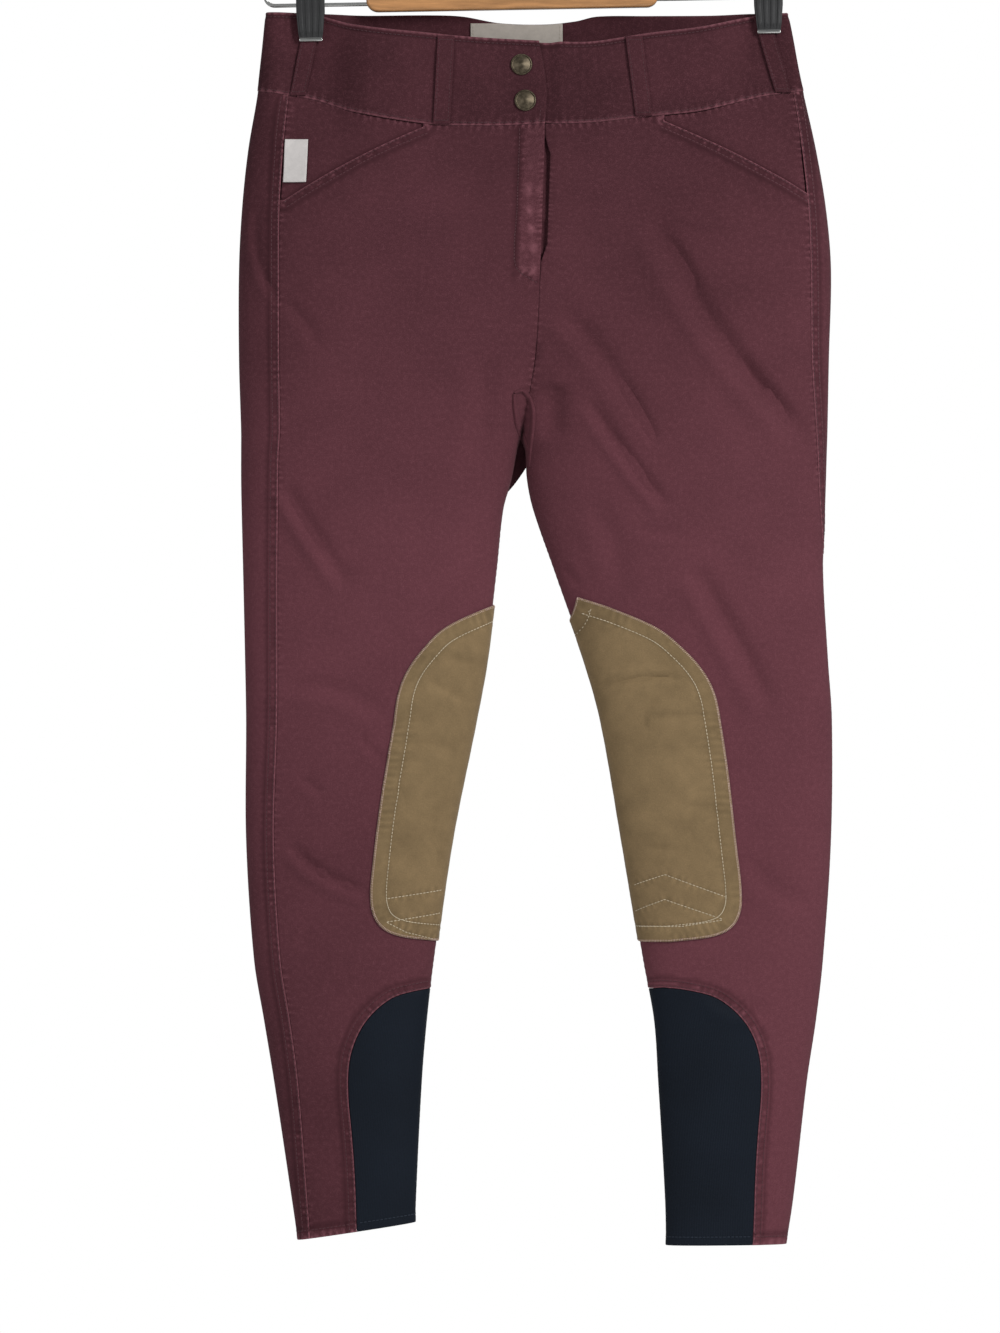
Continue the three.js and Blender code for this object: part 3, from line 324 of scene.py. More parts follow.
def pinch(x, drop):
    """How strongly the clips press front and back together."""
    most = np.zeros(np.shape(x))
    for clip in CLIP_X.values():
        outward = (x - clip) * (clip - CENTRE) > 0
        fading = np.where(outward, PINCH_OUTWARD, PINCH_INWARD)
        across = 1 - smooth((np.abs(x - clip) - CLIP_HALF) / fading)
        most = np.maximum(most, across * (1 - smooth((drop - PINCH_FROM) / PINCH_FALL)))
    return most


CREASE_STEPS = 10


def crease_depth(creases, x, drop):
    """How deep the creases press one face in."""
    total = np.zeros(x.shape)
    for x0, d0, x1, d1, x2, d2, width, depth, heap in creases:
        reach = 3.2 * width
        near = (x > min(x0, x1, x2) - reach) & (x < max(x0, x1, x2) + reach)
        near &= (drop > min(d0, d1, d2) - reach) & (drop < max(d0, d1, d2) + reach)
        if not near.any():
            continue
        px, pd = x[near], drop[near]
        best = np.full(px.shape, 1e9)
        place = np.zeros(px.shape)
        side = np.zeros(px.shape)
        control = 2 * x1 - (x0 + x2) / 2, 2 * d1 - (d0 + d2) / 2
        curve = []
        for t in np.linspace(0, 1, CREASE_STEPS + 1):
            weights = (1 - t) ** 2, 2 * t * (1 - t), t * t
            curve.append((np.dot(weights, (x0, control[0], x2)), np.dot(weights, (d0, control[1], d2))))
        for k, ((ax, ad), (bx, bd)) in enumerate(zip(curve, curve[1:])):
            ex, ed = bx - ax, bd - ad
            t = np.clip(((px - ax) * ex + (pd - ad) * ed) / (ex * ex + ed * ed), 0, 1)
            vx, vd = px - ax - t * ex, pd - ad - t * ed
            away = vx * vx + vd * vd
            closer = away < best
            best = np.where(closer, away, best)
            place = np.where(closer, (k + t) / CREASE_STEPS, place)
            side = np.where(closer, ex * vd - ed * vx, side)
        away = np.sqrt(best)
        trough = depth * bell(away / width)
        pile = abs(heap) * bell((away - 1.7 * width) / (0.9 * width)) * (side * heap > 0)
        total[near] += (1 - (2 * place - 1) ** 4) * (trough - pile)
    return total


def ripple(x, drop, shift):
    """The slow, uneven waves of cloth that has seen long use."""
    wave = 0.6 * np.sin(x / 37 + 1.3 * np.sin(drop / 61) + shift) * np.sin(drop / 53 + 0.8 + shift)
    wave += 0.35 * np.sin(x / 19 - drop / 83 + 2 * shift) + 0.25 * np.sin(drop / 17 + x / 29 + 3 * shift)
    return wave


WAIST_BLEND = 150
HEM_BLEND = 140


def drop_of(half, front, level, x):
    """The real drop of a level at x. The waist seam and the hem bend the even rows."""
    seam = np.where(front, SEAM["front"](x), SEAM["back"](x))
    top = np.where(front, TOP["front"](x), TOP["back"](x))
    waist = (seam - BAND_HEIGHT) * (1 - smooth((level - BAND_HEIGHT) / WAIST_BLEND))
    out, inner = half.out(level), half.inner(level)
    hem = mix(half.hem_out, half.hem_in, np.clip((x - out) / (inner - out), 0, 1))
    below = level + waist + hem * smooth((level - LENGTH + HEM_BLEND) / HEM_BLEND)
    return np.where(level <= BAND_HEIGHT, mix(top, seam, level / BAND_HEIGHT), below)


def skin(half, level, across, plain=False):
    """Points of the cloth's outer face. Across runs from the inner edge at 0 round the side to 2."""
    level, across = np.broadcast_arrays(np.asarray(level, float), np.asarray(across, float))
    closed = level >= CROTCH
    a = np.where(closed & (across < 0), across + 2, across)
    a = np.where(closed & (a > 2), a - 2, a)
    a = np.clip(a, 0, 2)
    front = a <= 1
    share = (1 - np.cos(np.pi * np.where(front, a, 2 - a))) / 2

    def x_at(drop):
        return mix(half.inner(drop), half.out(drop), share)

    drop = drop_of(half, front, level, x_at(drop_of(half, front, level, x_at(level))))
    x = x_at(drop)
    width = half.width(drop)
    to_side, to_inner = width * (1 - share), width * share
    opened = np.where(front, openness("front", level), openness("back", level))
    inner = bulge(to_inner, np.minimum(FORK(level), width / 2))
    sides = bulge(to_side, np.minimum(ROUND(level), width / 2))
    full = np.where(front, DEPTH["front"](level), DEPTH["back"](level)) * sides
    full = full * np.sqrt(opened**2 + (1 - opened**2) * inner**2)
    depth = mix(full, PINCHED * bulge(to_side, 6), pinch(x, drop))
    if not plain:
        settle = bulge(to_side, 40) * np.maximum(opened, bulge(to_inner, 40))
        settle = settle * (1 - 0.8 * pinch(x, drop))
        creases = [crease_depth(rows, x, drop) for rows in (FRONT_CREASES, BACK_CREASES)]
        waves = np.where(front, ripple(x, drop, 0), ripple(x, drop, 1.7)) * smooth((level - 62) / 60)
        depth = depth - (np.where(front, *creases) + waves) * settle
    if half.sign > 0:
        dip = (1 - smooth(to_inner / 9)) * (1 - smooth((drop - FLY_BOTTOM + 12) / 24))
        depth = depth - np.where(front & (level >= BAND_HEIGHT), 1.6 * dip, 0)
    return np.stack([x, np.where(front, -depth, depth), BAND_TOP - drop], axis=-1)


ASIDE, BESIDE = 0.01, 2


def surface(half, level, across):
    """Points of the cloth's outer face and the directions outward from it."""
    level, across = np.broadcast_arrays(np.asarray(level, float), np.asarray(across, float))
    opened = level < CROTCH
    across = np.where(opened, np.clip(across, 0, 2), across)
    a0 = np.where(opened, np.maximum(across - ASIDE, 0), across - ASIDE)
    a1 = np.where(opened, np.minimum(across + ASIDE, 2), across + ASIDE)
    round_leg = skin(half, level, a1) - skin(half, level, a0)
    down = skin(half, level + BESIDE, across) - skin(half, np.maximum(level - BESIDE, 0), across)
    normal = np.cross(round_leg, down) * -half.sign
    return skin(half, level, across), normal / np.linalg.norm(normal, axis=-1, keepdims=True)


def off(half, level, across, distance):
    point, normal = surface(half, level, across)
    return point + normal * np.broadcast_to(distance, point.shape[:-1])[..., None]


def level_at(half, front, x, drop):
    """The level whose real drop at x is the given one."""
    low, high = np.zeros(np.shape(drop)), np.full(np.shape(drop), LENGTH + 20.0)
    for _ in range(30):
        middle = (low + high) / 2
        short = drop_of(half, front, middle, x) < drop
        low, high = np.where(short, middle, low), np.where(short, high, middle)
    return low


def off_at(face, x, drop, distance):
    """Points off one face of the garment, given by x and drop."""
    x, drop = np.broadcast_arrays(np.asarray(x, float), np.asarray(drop, float))
    distance = np.broadcast_to(distance, x.shape)
    result = np.zeros(x.shape + (3,))
    for half in HALVES.values():
        mine = (x < RIGHT_IN(drop)) == (half.sign < 0)
        if not mine.any():
            continue
        hx, hd = x[mine], drop[mine]
        inner = half.inner(hd)
        share = np.clip((hx - inner) / (half.out(hd) - inner), 0, 1)
        a = np.arccos(1 - 2 * share) / np.pi
        level = level_at(half, face == "front", hx, hd)
        result[mine] = off(half, level, a if face == "front" else 2 - a, distance[mine])
    return result


FLAT_ROWS = 90
FLAT_TURNS = 90
HEM_SPARE = 24


class Flat:
    """The cloth of one half laid flat round one of its folds: x runs round the leg and y down it."""

    def __init__(self, half, centre):
        self.half, self.centre = half, centre
        self.levels = np.linspace(0, LENGTH + HEM_SPARE, FLAT_ROWS)
        self.turns = np.linspace(-1, 1, 2 * FLAT_TURNS + 1)
        level, turn = np.meshgrid(self.levels, self.turns, indexing="ij")
        points = skin(half, level, centre + turn, plain=True)
        steps = np.linalg.norm(np.diff(points[..., :2], axis=1), axis=2)
        arc = np.concatenate([np.zeros((len(self.levels), 1)), np.cumsum(steps, axis=1)], axis=1)
        self.arc = arc - arc[:, [FLAT_TURNS]]

    def rows(self, level):
        at = np.clip(np.asarray(level) / self.levels[1], 0, len(self.levels) - 1.001)
        i = at.astype(int)
        return mix(self.arc[i], self.arc[i + 1], (at - i)[..., None])

    def laid(self, level, turn):
        """Flat places of levels and turns from the centre."""
        level, turn = np.broadcast_arrays(np.atleast_1d(level), np.atleast_1d(turn))
        rows = self.rows(level)
        held = np.clip(turn, -1, 1)
        at = np.clip((held + 1) * FLAT_TURNS, 0, 2 * FLAT_TURNS - 0.001)
        j = at.astype(int)
        n = np.arange(len(level))
        x = mix(rows[n, j], rows[n, j + 1], at - j) + (turn - held) * 200
        return np.stack([x, level], axis=-1)

    def place(self, xy):
        """The level and the across of flat places."""
        rows = self.rows(xy[:, 1])
        n = np.arange(len(xy))
        j = np.clip((rows <= xy[:, :1]).sum(axis=1) - 1, 0, 2 * FLAT_TURNS - 1)
        low, high = rows[n, j], rows[n, j + 1]
        share = (xy[:, 0] - low) / np.maximum(high - low, 1e-6)
        return xy[:, 1], self.centre + self.turns[j] + np.clip(share, -1, 2) / FLAT_TURNS

    def points(self, xy, distance):
        return off(self.half, *self.place(xy), distance)


def run_of(points):
    """How far each point of a line lies from its start."""
    return np.concatenate([[0], np.cumsum(np.linalg.norm(np.diff(points, axis=0), axis=1))])


def evenly(line, step):
    """Points at even steps along a line."""
    line = np.asarray(line, float)
    run = run_of(line)
    places = np.linspace(0, run[-1], max(1, round(run[-1] / step)) + 1)
    return np.stack([np.interp(places, run, line[:, k]) for k in range(2)], axis=1)


OUTLINE_STEP = 1.8
TOO_CLOSE = 0.15


def resampled(loop, step):
    """The same closed line with even, short steps, which keeps its corners."""
    loop = [np.asarray(p, float) for p in loop]
    result = []
    for a, b in zip(loop, loop[1:] + loop[:1]):
        count = max(1, round(float(np.linalg.norm(b - a)) / step))
        result += [mix(a, b, k / count) for k in range(count)]
    result = np.array(result)
    apart = np.linalg.norm(result - np.roll(result, 1, axis=0), axis=1) > TOO_CLOSE
    apart[0] = True
    return result[apart]


def rounded(points, step=3.0):
    """A soft curve through the points."""
    p = [np.asarray(q, float) for q in points]
    p = [2 * p[0] - p[1]] + p + [2 * p[-1] - p[-2]]
    result = []
    for a, b, c, d in zip(p, p[1:], p[2:], p[3:]):
        count = max(2, round(float(np.linalg.norm(c - b)) / step))
        for k in range(count):
            t = k / count
            curve = 2 * b + (c - a) * t + (2 * a - 5 * b + 4 * c - d) * t * t
            result.append(0.5 * (curve + (3 * b - a - 3 * c + d) * t**3))
    return np.array(result + [p[-2]])


def tree_of(points):
    tree = KDTree(len(points))
    for i, (x, y) in enumerate(points):
        tree.insert((x, y, 0), i)
    tree.balance()
    return tree


def nearest(tree, xy):
    found = [tree.find((x, y, 0)) for x, y in xy]
    return np.array([f[2] for f in found]), np.array([f[1] for f in found])


def within(xy, polygon):
    """Which flat places lie inside a closed outline."""
    x, y = xy[:, 0], xy[:, 1]
    result = np.zeros(len(xy), bool)
    for (x0, y0), (x1, y1) in zip(polygon, np.roll(polygon, -1, axis=0)):
        if y0 == y1:
            continue
        result ^= ((y0 > y) != (y1 > y)) & (x < (x1 - x0) * (y - y0) / (y1 - y0) + x0)
    return result


class Cut:
    """A piece's outline laid flat, less a part that is cut out of it."""

    def __init__(self, outline, hole=None):
        self.loops = [resampled(outline, OUTLINE_STEP)]
        if hole is not None:
            self.loops.append(resampled(hole, OUTLINE_STEP))
        self.tree = tree_of(np.concatenate([resampled(loop, OUTLINE_STEP / 3) for loop in self.loops]))

    def holds(self, xy):
        inside = within(xy, self.loops[0])
        for hole in self.loops[1:]:
            inside &= ~within(xy, hole)
        return inside

    def edge(self, xy):
        return nearest(self.tree, xy)[0]


SEAM_STEP = 0.7


class Seam:
    """A sewn line on a laid-out piece: a raised band beside it, rows of stitches and their pucker."""

    def __init__(self, line, band=0.0, rows=(), pucker=0.16, height=0.5, shade=1.0):
        self.line = evenly(line, SEAM_STEP)
        self.tree = tree_of(self.line)
        self.band, self.rows, self.pucker = band, rows, pucker
        self.height, self.shade = height, shade

    def marks(self):
        """Distances from the line where the cloth bends sharply."""
        marks = [0.7, *self.rows]
        if self.band:
            marks += [self.band - 0.6, self.band + 0.9]
        marks.sort()
        return [m for k, m in enumerate(marks) if k == 0 or m - marks[k - 1] > 0.3]

    def form(self, xy):
        """How the seam raises the cloth, how much wear lightens it, and where painted shade darkens it."""
        away, index = nearest(self.tree, xy)
        run = index * SEAM_STEP
        height = np.zeros(len(xy))
        worn = np.zeros(len(xy))
        wide = max([self.band, 3.0, *self.rows])
        if self.band:
            on_band = 1 - smooth((away - self.band + 0.7) / 1.5)
            height += self.height * on_band
            # Wear lightens the raised band and the seam line; painted shade darkens the cloth just past the
            # band's edge.
            worn += 0.3 * on_band - 0.9 * bell((away - self.band - 0.9) / 0.9)
            worn += 0.7 * bell(away / 0.9)
        for row in self.rows:
            pressed = bell((away - row) / 0.55)
            height -= 0.32 * pressed
            # Painted shade in the pressed row.
            worn -= self.shade * pressed
        tick = np.sin(run * 2 * np.pi / 5.3 + 1.4 * np.sin(run / 11) + 0.8 * np.sin(run / 3.7 + 1))
        strength = 0.55 + 0.45 * np.sin(run / 23 + 0.9 * np.sin(run / 7.1))
        near = bell(away / (wide + 1)) * strength
        height += self.pucker * tick * near
        # Wear lightens the pucker's crests and painted shade darkens its hollows.
        worn += 0.45 * tick * near
        return height, worn


class Thread:
    """Rows of stitches gathered from many pieces into one."""

    SIDES = 5
    FLATNESS = 0.66
    RINGS = [(-0.5, 0.0), (-0.34, 0.8), (0.0, 1.0), (0.34, 0.8), (0.5, 0.0)]

    def __init__(self, name, finish, share=1.0):
        self.name, self.finish, self.share = name, finish, share
        self.starts, self.ends, self.ups = [], [], []

    def add(self, starts, ends, ups):
        self.starts.append(starts)
        self.ends.append(ends)
        self.ups.append(ups)

    def mesh(self, width):
        """Every stitch as a small barrel, with its width in millimetres."""
        width = width * self.share
        a, b, up = (np.concatenate(part) for part in (self.starts, self.ends, self.ups))
        way = b - a
        span = np.linalg.norm(way, axis=1, keepdims=True)
        good = span[:, 0] > 0.2
        a, b, up, way, span = a[good], b[good], up[good], way[good], span[good]
        way = way / span
        side = np.cross(up, way)
        side /= np.linalg.norm(side, axis=1, keepdims=True)
        up = np.cross(way, side)
        middle = (a + b) / 2
        angles = 2 * np.pi * (np.arange(self.SIDES) + 0.5) / self.SIDES
        points = []
        for at, swell in self.RINGS:
            centre = middle + way * span * at
            if swell == 0:
                points.append(centre[:, None, :])
                continue
            ring = np.cos(angles)[None, :, None] * side[:, None, :] * width / 2
            ring = ring + np.sin(angles)[None, :, None] * up[:, None, :] * width * self.FLATNESS / 2
            points.append(centre[:, None, :] + ring * swell)
        points = np.concatenate(points, axis=1)
        n = self.SIDES
        faces = []
        for k in range(n):
            m = (k + 1) % n
            faces.append((0, 1 + m, 1 + k))
            for ring in range(2):
                low, high = 1 + ring * n, 1 + (ring + 1) * n
                faces += [(low + k, low + m, high + m), (low + k, high + m, high + k)]
            faces.append((1 + 2 * n + k, 1 + 2 * n + m, 1 + 3 * n))
        faces = np.array(faces)
        count = points.shape[1]
        shifted = faces[None] + (np.arange(len(points)) * count)[:, None, None]
        return points.reshape(-1, 3), shifted.reshape(-1, 3)


def turned_out(points, faces):
    """The faces of a closed mesh, turned outward."""
    a, b, c = (points[faces[:, k]] for k in range(3))
    return faces if np.einsum("ij,ij->", a, np.cross(b, c)) > 0 else faces[:, ::-1]


def mesh_piece(name, points, faces, finish, nodes=(), flat=None, worn=None, sharp=50):
    """A finished piece from points in millimetres and triangles."""
    name = f"{name}_fine" if nodes else name
    mesh = bpy.data.meshes.new(name)
    mesh.from_pydata((points * MM).tolist(), [], np.asarray(faces).tolist())
    mesh.validate()
    mesh.materials.append(FINISH[finish])
    if flat is not None:
        layer = mesh.uv_layers.new(name="cloth")
        corners = np.empty(len(mesh.loops), dtype=np.int32)
        mesh.loops.foreach_get("vertex_index", corners)
        layer.data.foreach_set("uv", (flat * MM)[corners].astype(np.float32).ravel())
    # This attribute holds wear, which lightens rubbed cloth, and painted shade, which darkens it beside
    # raised seams, in pressed rows, at the fly and pocket edges and on the crotch gusset.
    attribute = mesh.attributes.new("worn", "FLOAT", "POINT")
    values = np.zeros(len(mesh.vertices)) if worn is None else worn
    attribute.data.foreach_set("value", values.astype(np.float32))
    piece = bpy.data.objects.new(name, mesh)
    bpy.context.scene.collection.objects.link(piece)
    with bpy.context.temp_override(
        object=piece, active_object=piece, selected_objects=[piece], selected_editable_objects=[piece]
    ):
        bpy.ops.object.shade_smooth_by_angle(angle=math.radians(sharp))
    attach(piece, "root")
    if nodes:
        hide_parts(*nodes)
    return piece


def edge_roll(distance, half):
    """How full a wall is near its edge, which is rounded."""
    t = 1 - np.clip(distance / half, 0, 1)
    return 0.25 + 0.75 * np.sqrt(1 - t * t)


EDGE_ROWS = (0.2, 0.6, 1.3)
GRID = 3.2


def directions(line, closed=False):
    """The unit ways along a flat line and across it."""
    way = np.roll(line, -1, axis=0) - np.roll(line, 1, axis=0) if closed else np.gradient(line, axis=0)
    way = way / np.maximum(np.linalg.norm(way, axis=1, keepdims=True), 1e-9)
    return way, np.stack([-way[:, 1], way[:, 0]], axis=1)


def offset_points(cut, line, distance, closed=False):
    """Points of lines beside an edge or seam, where they lie on the cloth and keep their distance."""
    normal = directions(line, closed)[1]
    points = np.concatenate([line + distance * normal, line - distance * normal])
    points = points[cut.holds(points)]
    return points[cut.edge(points) > 0.93 * min(distance, 1.3)]


def triangulated(cut, points):
    """Triangles over a cut-out piece through some points inside it."""
    coords, edges = [], []
    for loop in cut.loops:
        first = sum(len(c) for c in coords)
        coords.append(loop)
        edges += [(first + i, first + (i + 1) % len(loop)) for i in range(len(loop))]
    coords.append(points)
    found = delaunay_2d_cdt([Vector(p) for p in np.concatenate(coords).tolist()], edges, [], 0, 1e-4)
    xy = np.array([tuple(v) for v in found[0]])
    triangles = np.array([face for face in found[2] if len(face) == 3])
    triangles = triangles[cut.holds(xy[triangles].mean(axis=1))]
    used, again = np.unique(triangles, return_inverse=True)
    return xy[used], again.reshape(-1, 3)


def grid_points(cut, step, clear):
    """A field of points in even triangles, clear of the edge."""
    low, high = cut.loops[0].min(axis=0), cut.loops[0].max(axis=0)
    rows = np.arange(low[1] + step / 2, high[1], step * 0.866)
    points = []
    for i, y in enumerate(rows):
        x = np.arange(low[0] + step * (0.25 + 0.5 * (i % 2)), high[0], step)
        points.append(np.stack([x, np.full(x.shape, y)], axis=1))
    points = np.concatenate(points)
    points = points[cut.holds(points)]
    return points[cut.edge(points) > clear]


def closed_shell(outer, inner, top, lining, rim):
    """A closed wall from outer and inner points, their triangles, and the rim's edges with their twins."""
    start = len(outer)
    a, b, ta, tb = (rim[:, k] for k in range(4))
    walls = [np.stack([b, a, start + ta], axis=1), np.stack([b, start + ta, start + tb], axis=1)]
    faces = np.concatenate([top, lining[:, ::-1] + start, *walls])
    points = np.concatenate([outer, inner])
    return points, turned_out(points, faces)


def sewn_panel(name, flat, cut, finish, nodes, seams, thread=None, thickness=CLOTH, base=None, **rows_of):
    """A cloth piece as a thin closed shell on the garment's form, with its seams and rows of stitches."""
    step = GRID * 1
    rows = [offset_points(cut, loop, d, closed=True) for loop in cut.loops for d in EDGE_ROWS]
    for seam in seams:
        rows += [offset_points(cut, evenly(seam.line, OUTLINE_STEP), d) for d in seam.marks()]
    rows = np.concatenate(rows)
    rows = rows[np.sort(np.unique(np.round(rows / 0.35).astype(int), axis=0, return_index=True)[1])]
    field = grid_points(cut, step, 1.3 + 0.45 * step)
    field = field[nearest(tree_of(rows), field)[0] > 0.55 * step]
    fine, triangles = triangulated(cut, np.concatenate([rows, field]))
    coarse, lining = triangulated(cut, grid_points(cut, 12, 7))

    def lift(xy):
        height, worn = (np.zeros(len(xy)), np.zeros(len(xy))) if base is None else base(xy)
        for seam in seams:
            more, rubbed_and_shaded = seam.form(xy)
            height, worn = height + more, worn + rubbed_and_shaded
        return height, worn

    height, worn = lift(fine)
    full = thickness / 2 * edge_roll(cut.edge(fine), thickness / 2 + 0.1)
    outer = flat.points(fine, height - thickness / 2 + full)
    under = 0 if base is None else base(coarse)[0]
    rim = thickness / 2 * edge_roll(cut.edge(coarse), thickness / 2)
    inner = flat.points(coarse, under - thickness / 2 - rim)
    keys = {tuple(k): i for i, k in enumerate(np.round(coarse, 3).tolist())}
    twin = np.array([keys.get(tuple(k), -1) for k in np.round(fine, 3).tolist()])
    sides = np.concatenate([triangles[:, [0, 1]], triangles[:, [1, 2]], triangles[:, [2, 0]]])
    _, first, count = np.unique(np.sort(sides, axis=1), axis=0, return_index=True, return_counts=True)
    edges = sides[first[count == 1]]
    rim = np.concatenate([edges, twin[edges]], axis=1)
    points, faces = closed_shell(outer, inner, triangles, lining, rim[(rim >= 0).all(axis=1)])
    worn = np.concatenate([worn, np.zeros(len(coarse))])
    piece = mesh_piece(name, points, faces, finish, nodes, np.concatenate([fine, coarse]), worn)
    PIECES[name] = piece, cut
    for seam in seams:
        for row in seam.rows:
            stitch(THREADS[thread], flat, cut, seam.line, row, lift, **rows_of)
    return lift


def stitch(thread, flat, cut, line, distance, lift, pitch=3.1, above=0.12, clear=0.9):
    """Lays stitches in a row at a distance beside a line, where it runs over the cloth."""
    line = evenly(line, pitch)
    way, normal = directions(line)
    for side in (-1, 1) if distance > 0 else (1,):
        middle = line + side * distance * normal
        a, b = middle - way * pitch * 0.41, middle + way * pitch * 0.41
        good = cut.holds(a) & cut.holds(b)
        good &= cut.edge(middle) > min(clear, 0.9 * distance if distance > 0 else clear)
        if not good.any():
            continue
        a, b, middle = a[good], b[good], middle[good]
        height = lift(middle)[0] + above
        start, end = flat.points(a, height), flat.points(b, height)
        thread.add(start, end, flat.points(middle, height + 1) - flat.points(middle, height))


def laid_at(flat, face, x, drop):
    """Flat places of points that are given by x and drop on one face."""
    x, drop = np.broadcast_arrays(np.asarray(x, float), np.asarray(drop, float))
    half = flat.half
    share = np.clip((x - half.inner(drop)) / (half.out(drop) - half.inner(drop)), 0, 1)
    a = np.arccos(1 - 2 * share) / np.pi
    level = level_at(half, face == "front", x, drop)
    if flat.centre == 1:
        return flat.laid(level, a - 1 if face == "front" else 1 - a)
    return flat.laid(level, a if face == "front" else -a)


def reach_chain(half, table, top, turn, grown=0.0):
    """A patch's outline over its peak from front to back: distances before the inner fold, and drops."""
    front = [(turn + row[1] + grown, top + row[0] - grown) for row in table]
    back = [(turn - row[-1] - grown, top + row[0] - grown) for row in table]
    return rounded(front)[::-1], rounded(back)


def chain_laid(flat, chain):
    """The flat places of a patch's outline."""
    half = flat.half
    ahead, drop = chain[:, 0], chain[:, 1]
    x = half.inner(drop) + half.sign * np.abs(ahead)
    places = [laid_at(flat, face, x, drop) for face in ("front", "back")]
    return np.where((ahead > 0)[:, None], places[0], places[1])


def above_hem(line):
    """The part of a line above the hem."""
    return line[line[:, 1] < LENGTH - 0.5]


def down(first, last, step=8.0):
    return np.linspace(first, last, max(2, round((last - first) / step)))


def calf_line(flat, face):
    """Where the stretch panel is let into a front or back, from the hem up to the inner fold."""
    half = flat.half
    chain = np.concatenate(reach_chain(half, CALF_PANEL, CALF_TOP, half.calf_turn, GAP / 2))
    if face == "back":
        chain = chain[::-1]
    chain = chain[(chain[:, 0] > 0) == (face == "front")]
    line = above_hem(chain_laid(flat, chain))
    return np.concatenate([[(line[0, 0], LENGTH)], line])


# Two panels that are sewn together meet this close to their seam.
SEAM_GAP = 0.02


def panel_lines(half, flat, face):
    """The edges of a front or back, in order round it."""
    way = -1 if face == "front" else 1
    top = BAND_HEIGHT + SEAM_GAP

    def side_turn(level):
        return half.seam_across(level) - 1

    lines = {}
    if face == "front":
        in_x, in_drop, out_x, out_drop, sag = POCKETS[half.name]
        t = np.linspace(0, 1, 40)
        mouth = laid_at(flat, "front", mix(in_x, out_x, t), mix(in_drop, out_drop, t) - sag * 4 * t * (1 - t))
        first = laid_at(flat, "front", in_x, drop_of(half, True, top, in_x)).reshape(-1, 2)
        edge = flat.laid(top, -1).reshape(-1, 2)
        lines["waist"] = np.linspace(edge[0], first[0], 12)
        lines["mouth"] = mouth
        start = mouth[-1, 1]
    else:
        lines["waist"] = np.linspace(flat.laid(top, 1).ravel(), flat.laid(top, side_turn(top)).ravel(), 12)
        start = top
    levels = down(start, LENGTH)
    lines["side"] = flat.laid(levels, side_turn(levels)) + (way * SEAM_GAP, 0)
    calf = calf_line(flat, face)
    lines["hem"] = np.linspace(lines["side"][-1], calf[0], 12)
    lines["calf"] = calf
    levels = down(top, calf[-1, 1] - 0.4)[::-1]
    lines["inner"] = flat.laid(levels, way) - (way * SEAM_GAP, 0)
    if face == "front" and half.sign > 0:
        set_back = smooth((levels - 70) / 14) * (1 - smooth((levels - FLY_BOTTOM + 22) / 16))
        lines["inner"][:, 0] += 4.4 * set_back
    return lines


def area_of(outline):
    x, y = outline[:, 0], outline[:, 1]
    return abs(np.dot(x, np.roll(y, -1)) - np.dot(y, np.roll(x, -1))) / 2


def plain_place(flat, xy):
    """The x and drop of flat places."""
    level, across = flat.place(xy)
    points = skin(flat.half, level, across, plain=True)
    return points[:, 0], BAND_TOP - points[:, 2], across


def mouth_drop(pocket, x):
    in_x, in_drop, out_x, out_drop, sag = pocket
    t = np.clip((x - in_x) / (out_x - in_x), 0, 1)
    return mix(in_drop, out_drop, t) - sag * 4 * t * (1 - t)


def facing_off(pocket, x, drop):
    """How deep the pocket's facing lies under the front."""
    return -(CLOTH + GAP + 0.05) * (1 - smooth((mouth_drop(pocket, x) - drop - 22) / 26))


# The fly: its row of stitches on the right front, and how the overlap stands up.
FLY_STITCH = [(7.4, 91), (6.1, 129), (5.2, 153), (3.4, 176), (3.6, 191), (7.4, 199), (19.6, 206.5)]
FLY_WIDTH = 17.5
FLY_RISE = 0.8
GAPE = {"right": 0.4, "left": 2.2}


def front_base(flat):
    """What lifts a front above the plain cloth: the fly's overlap and the pocket's slack mouth."""
    half = flat.half
    pocket = POCKETS[half.name]

    def base(xy):
        x, drop, across = plain_place(flat, xy)
        height, worn = np.zeros(len(xy)), np.zeros(len(xy))
        share = np.clip((x - pocket[0]) / (pocket[2] - pocket[0]), 0, 1)
        below = np.clip(drop - mouth_drop(pocket, x), 0, 99)
        slack = smooth(share / 0.45) * (1 - smooth((share - 0.8) / 0.2)) * (1 - smooth(below / 24))
        height += GAPE[half.name] * slack
        if half.sign < 0:
            inward = half.inner(drop) - x
            ends = 1 - smooth((drop - FLY_BOTTOM - 4) / 8)
            on_fly = (1 - smooth((inward - FLY_WIDTH) / 2.5)) * ends
            height += FLY_RISE * on_fly
            lattice = np.sin((drop + 1.7 * inward) / 4.6 + np.sin(drop / 13))
            lattice = lattice * np.sin((drop - 1.9 * inward) / 5.9 + 1)
            fade = on_fly * bell((inward - 8) / 6) * smooth((drop - 112) / 20)
            height += 0.5 * lattice * fade
            worn += 0.9 * np.clip(lattice, 0, 1) * fade + 0.15 * on_fly
            # A line of painted shade beside the fly's edge.
            worn -= 0.8 * bell((inward - FLY_WIDTH - 2.2) / 1.2) * ends
        return height, worn

    return base


def leg_seams(lines, first, *more):
    """The seams of a front or back: its own first ones, and those that both have."""
    return [
        first,
        Seam(lines["calf"], band=6.5, rows=(1.4, 5.4), height=0.45),
        Seam(lines["hem"], band=7.5, rows=(6.5,), height=0.35, pucker=0.1),
        *more,
        Seam(lines["inner"], pucker=0.12),
        Seam(lines["waist"], pucker=0.3),
    ]


def sewn_leg(face, flat, lines, seams, base=None):
    """A front or back in one cut, which stands for its three lengths."""
    name = f"{face}_{flat.half.name}"
    nodes = [f"{name}_{length}" for length in LENGTHS]
    cut = Cut(np.concatenate(list(lines.values())))
    sewn_panel(name, flat, cut, "twill", nodes, seams, "body", base=base)


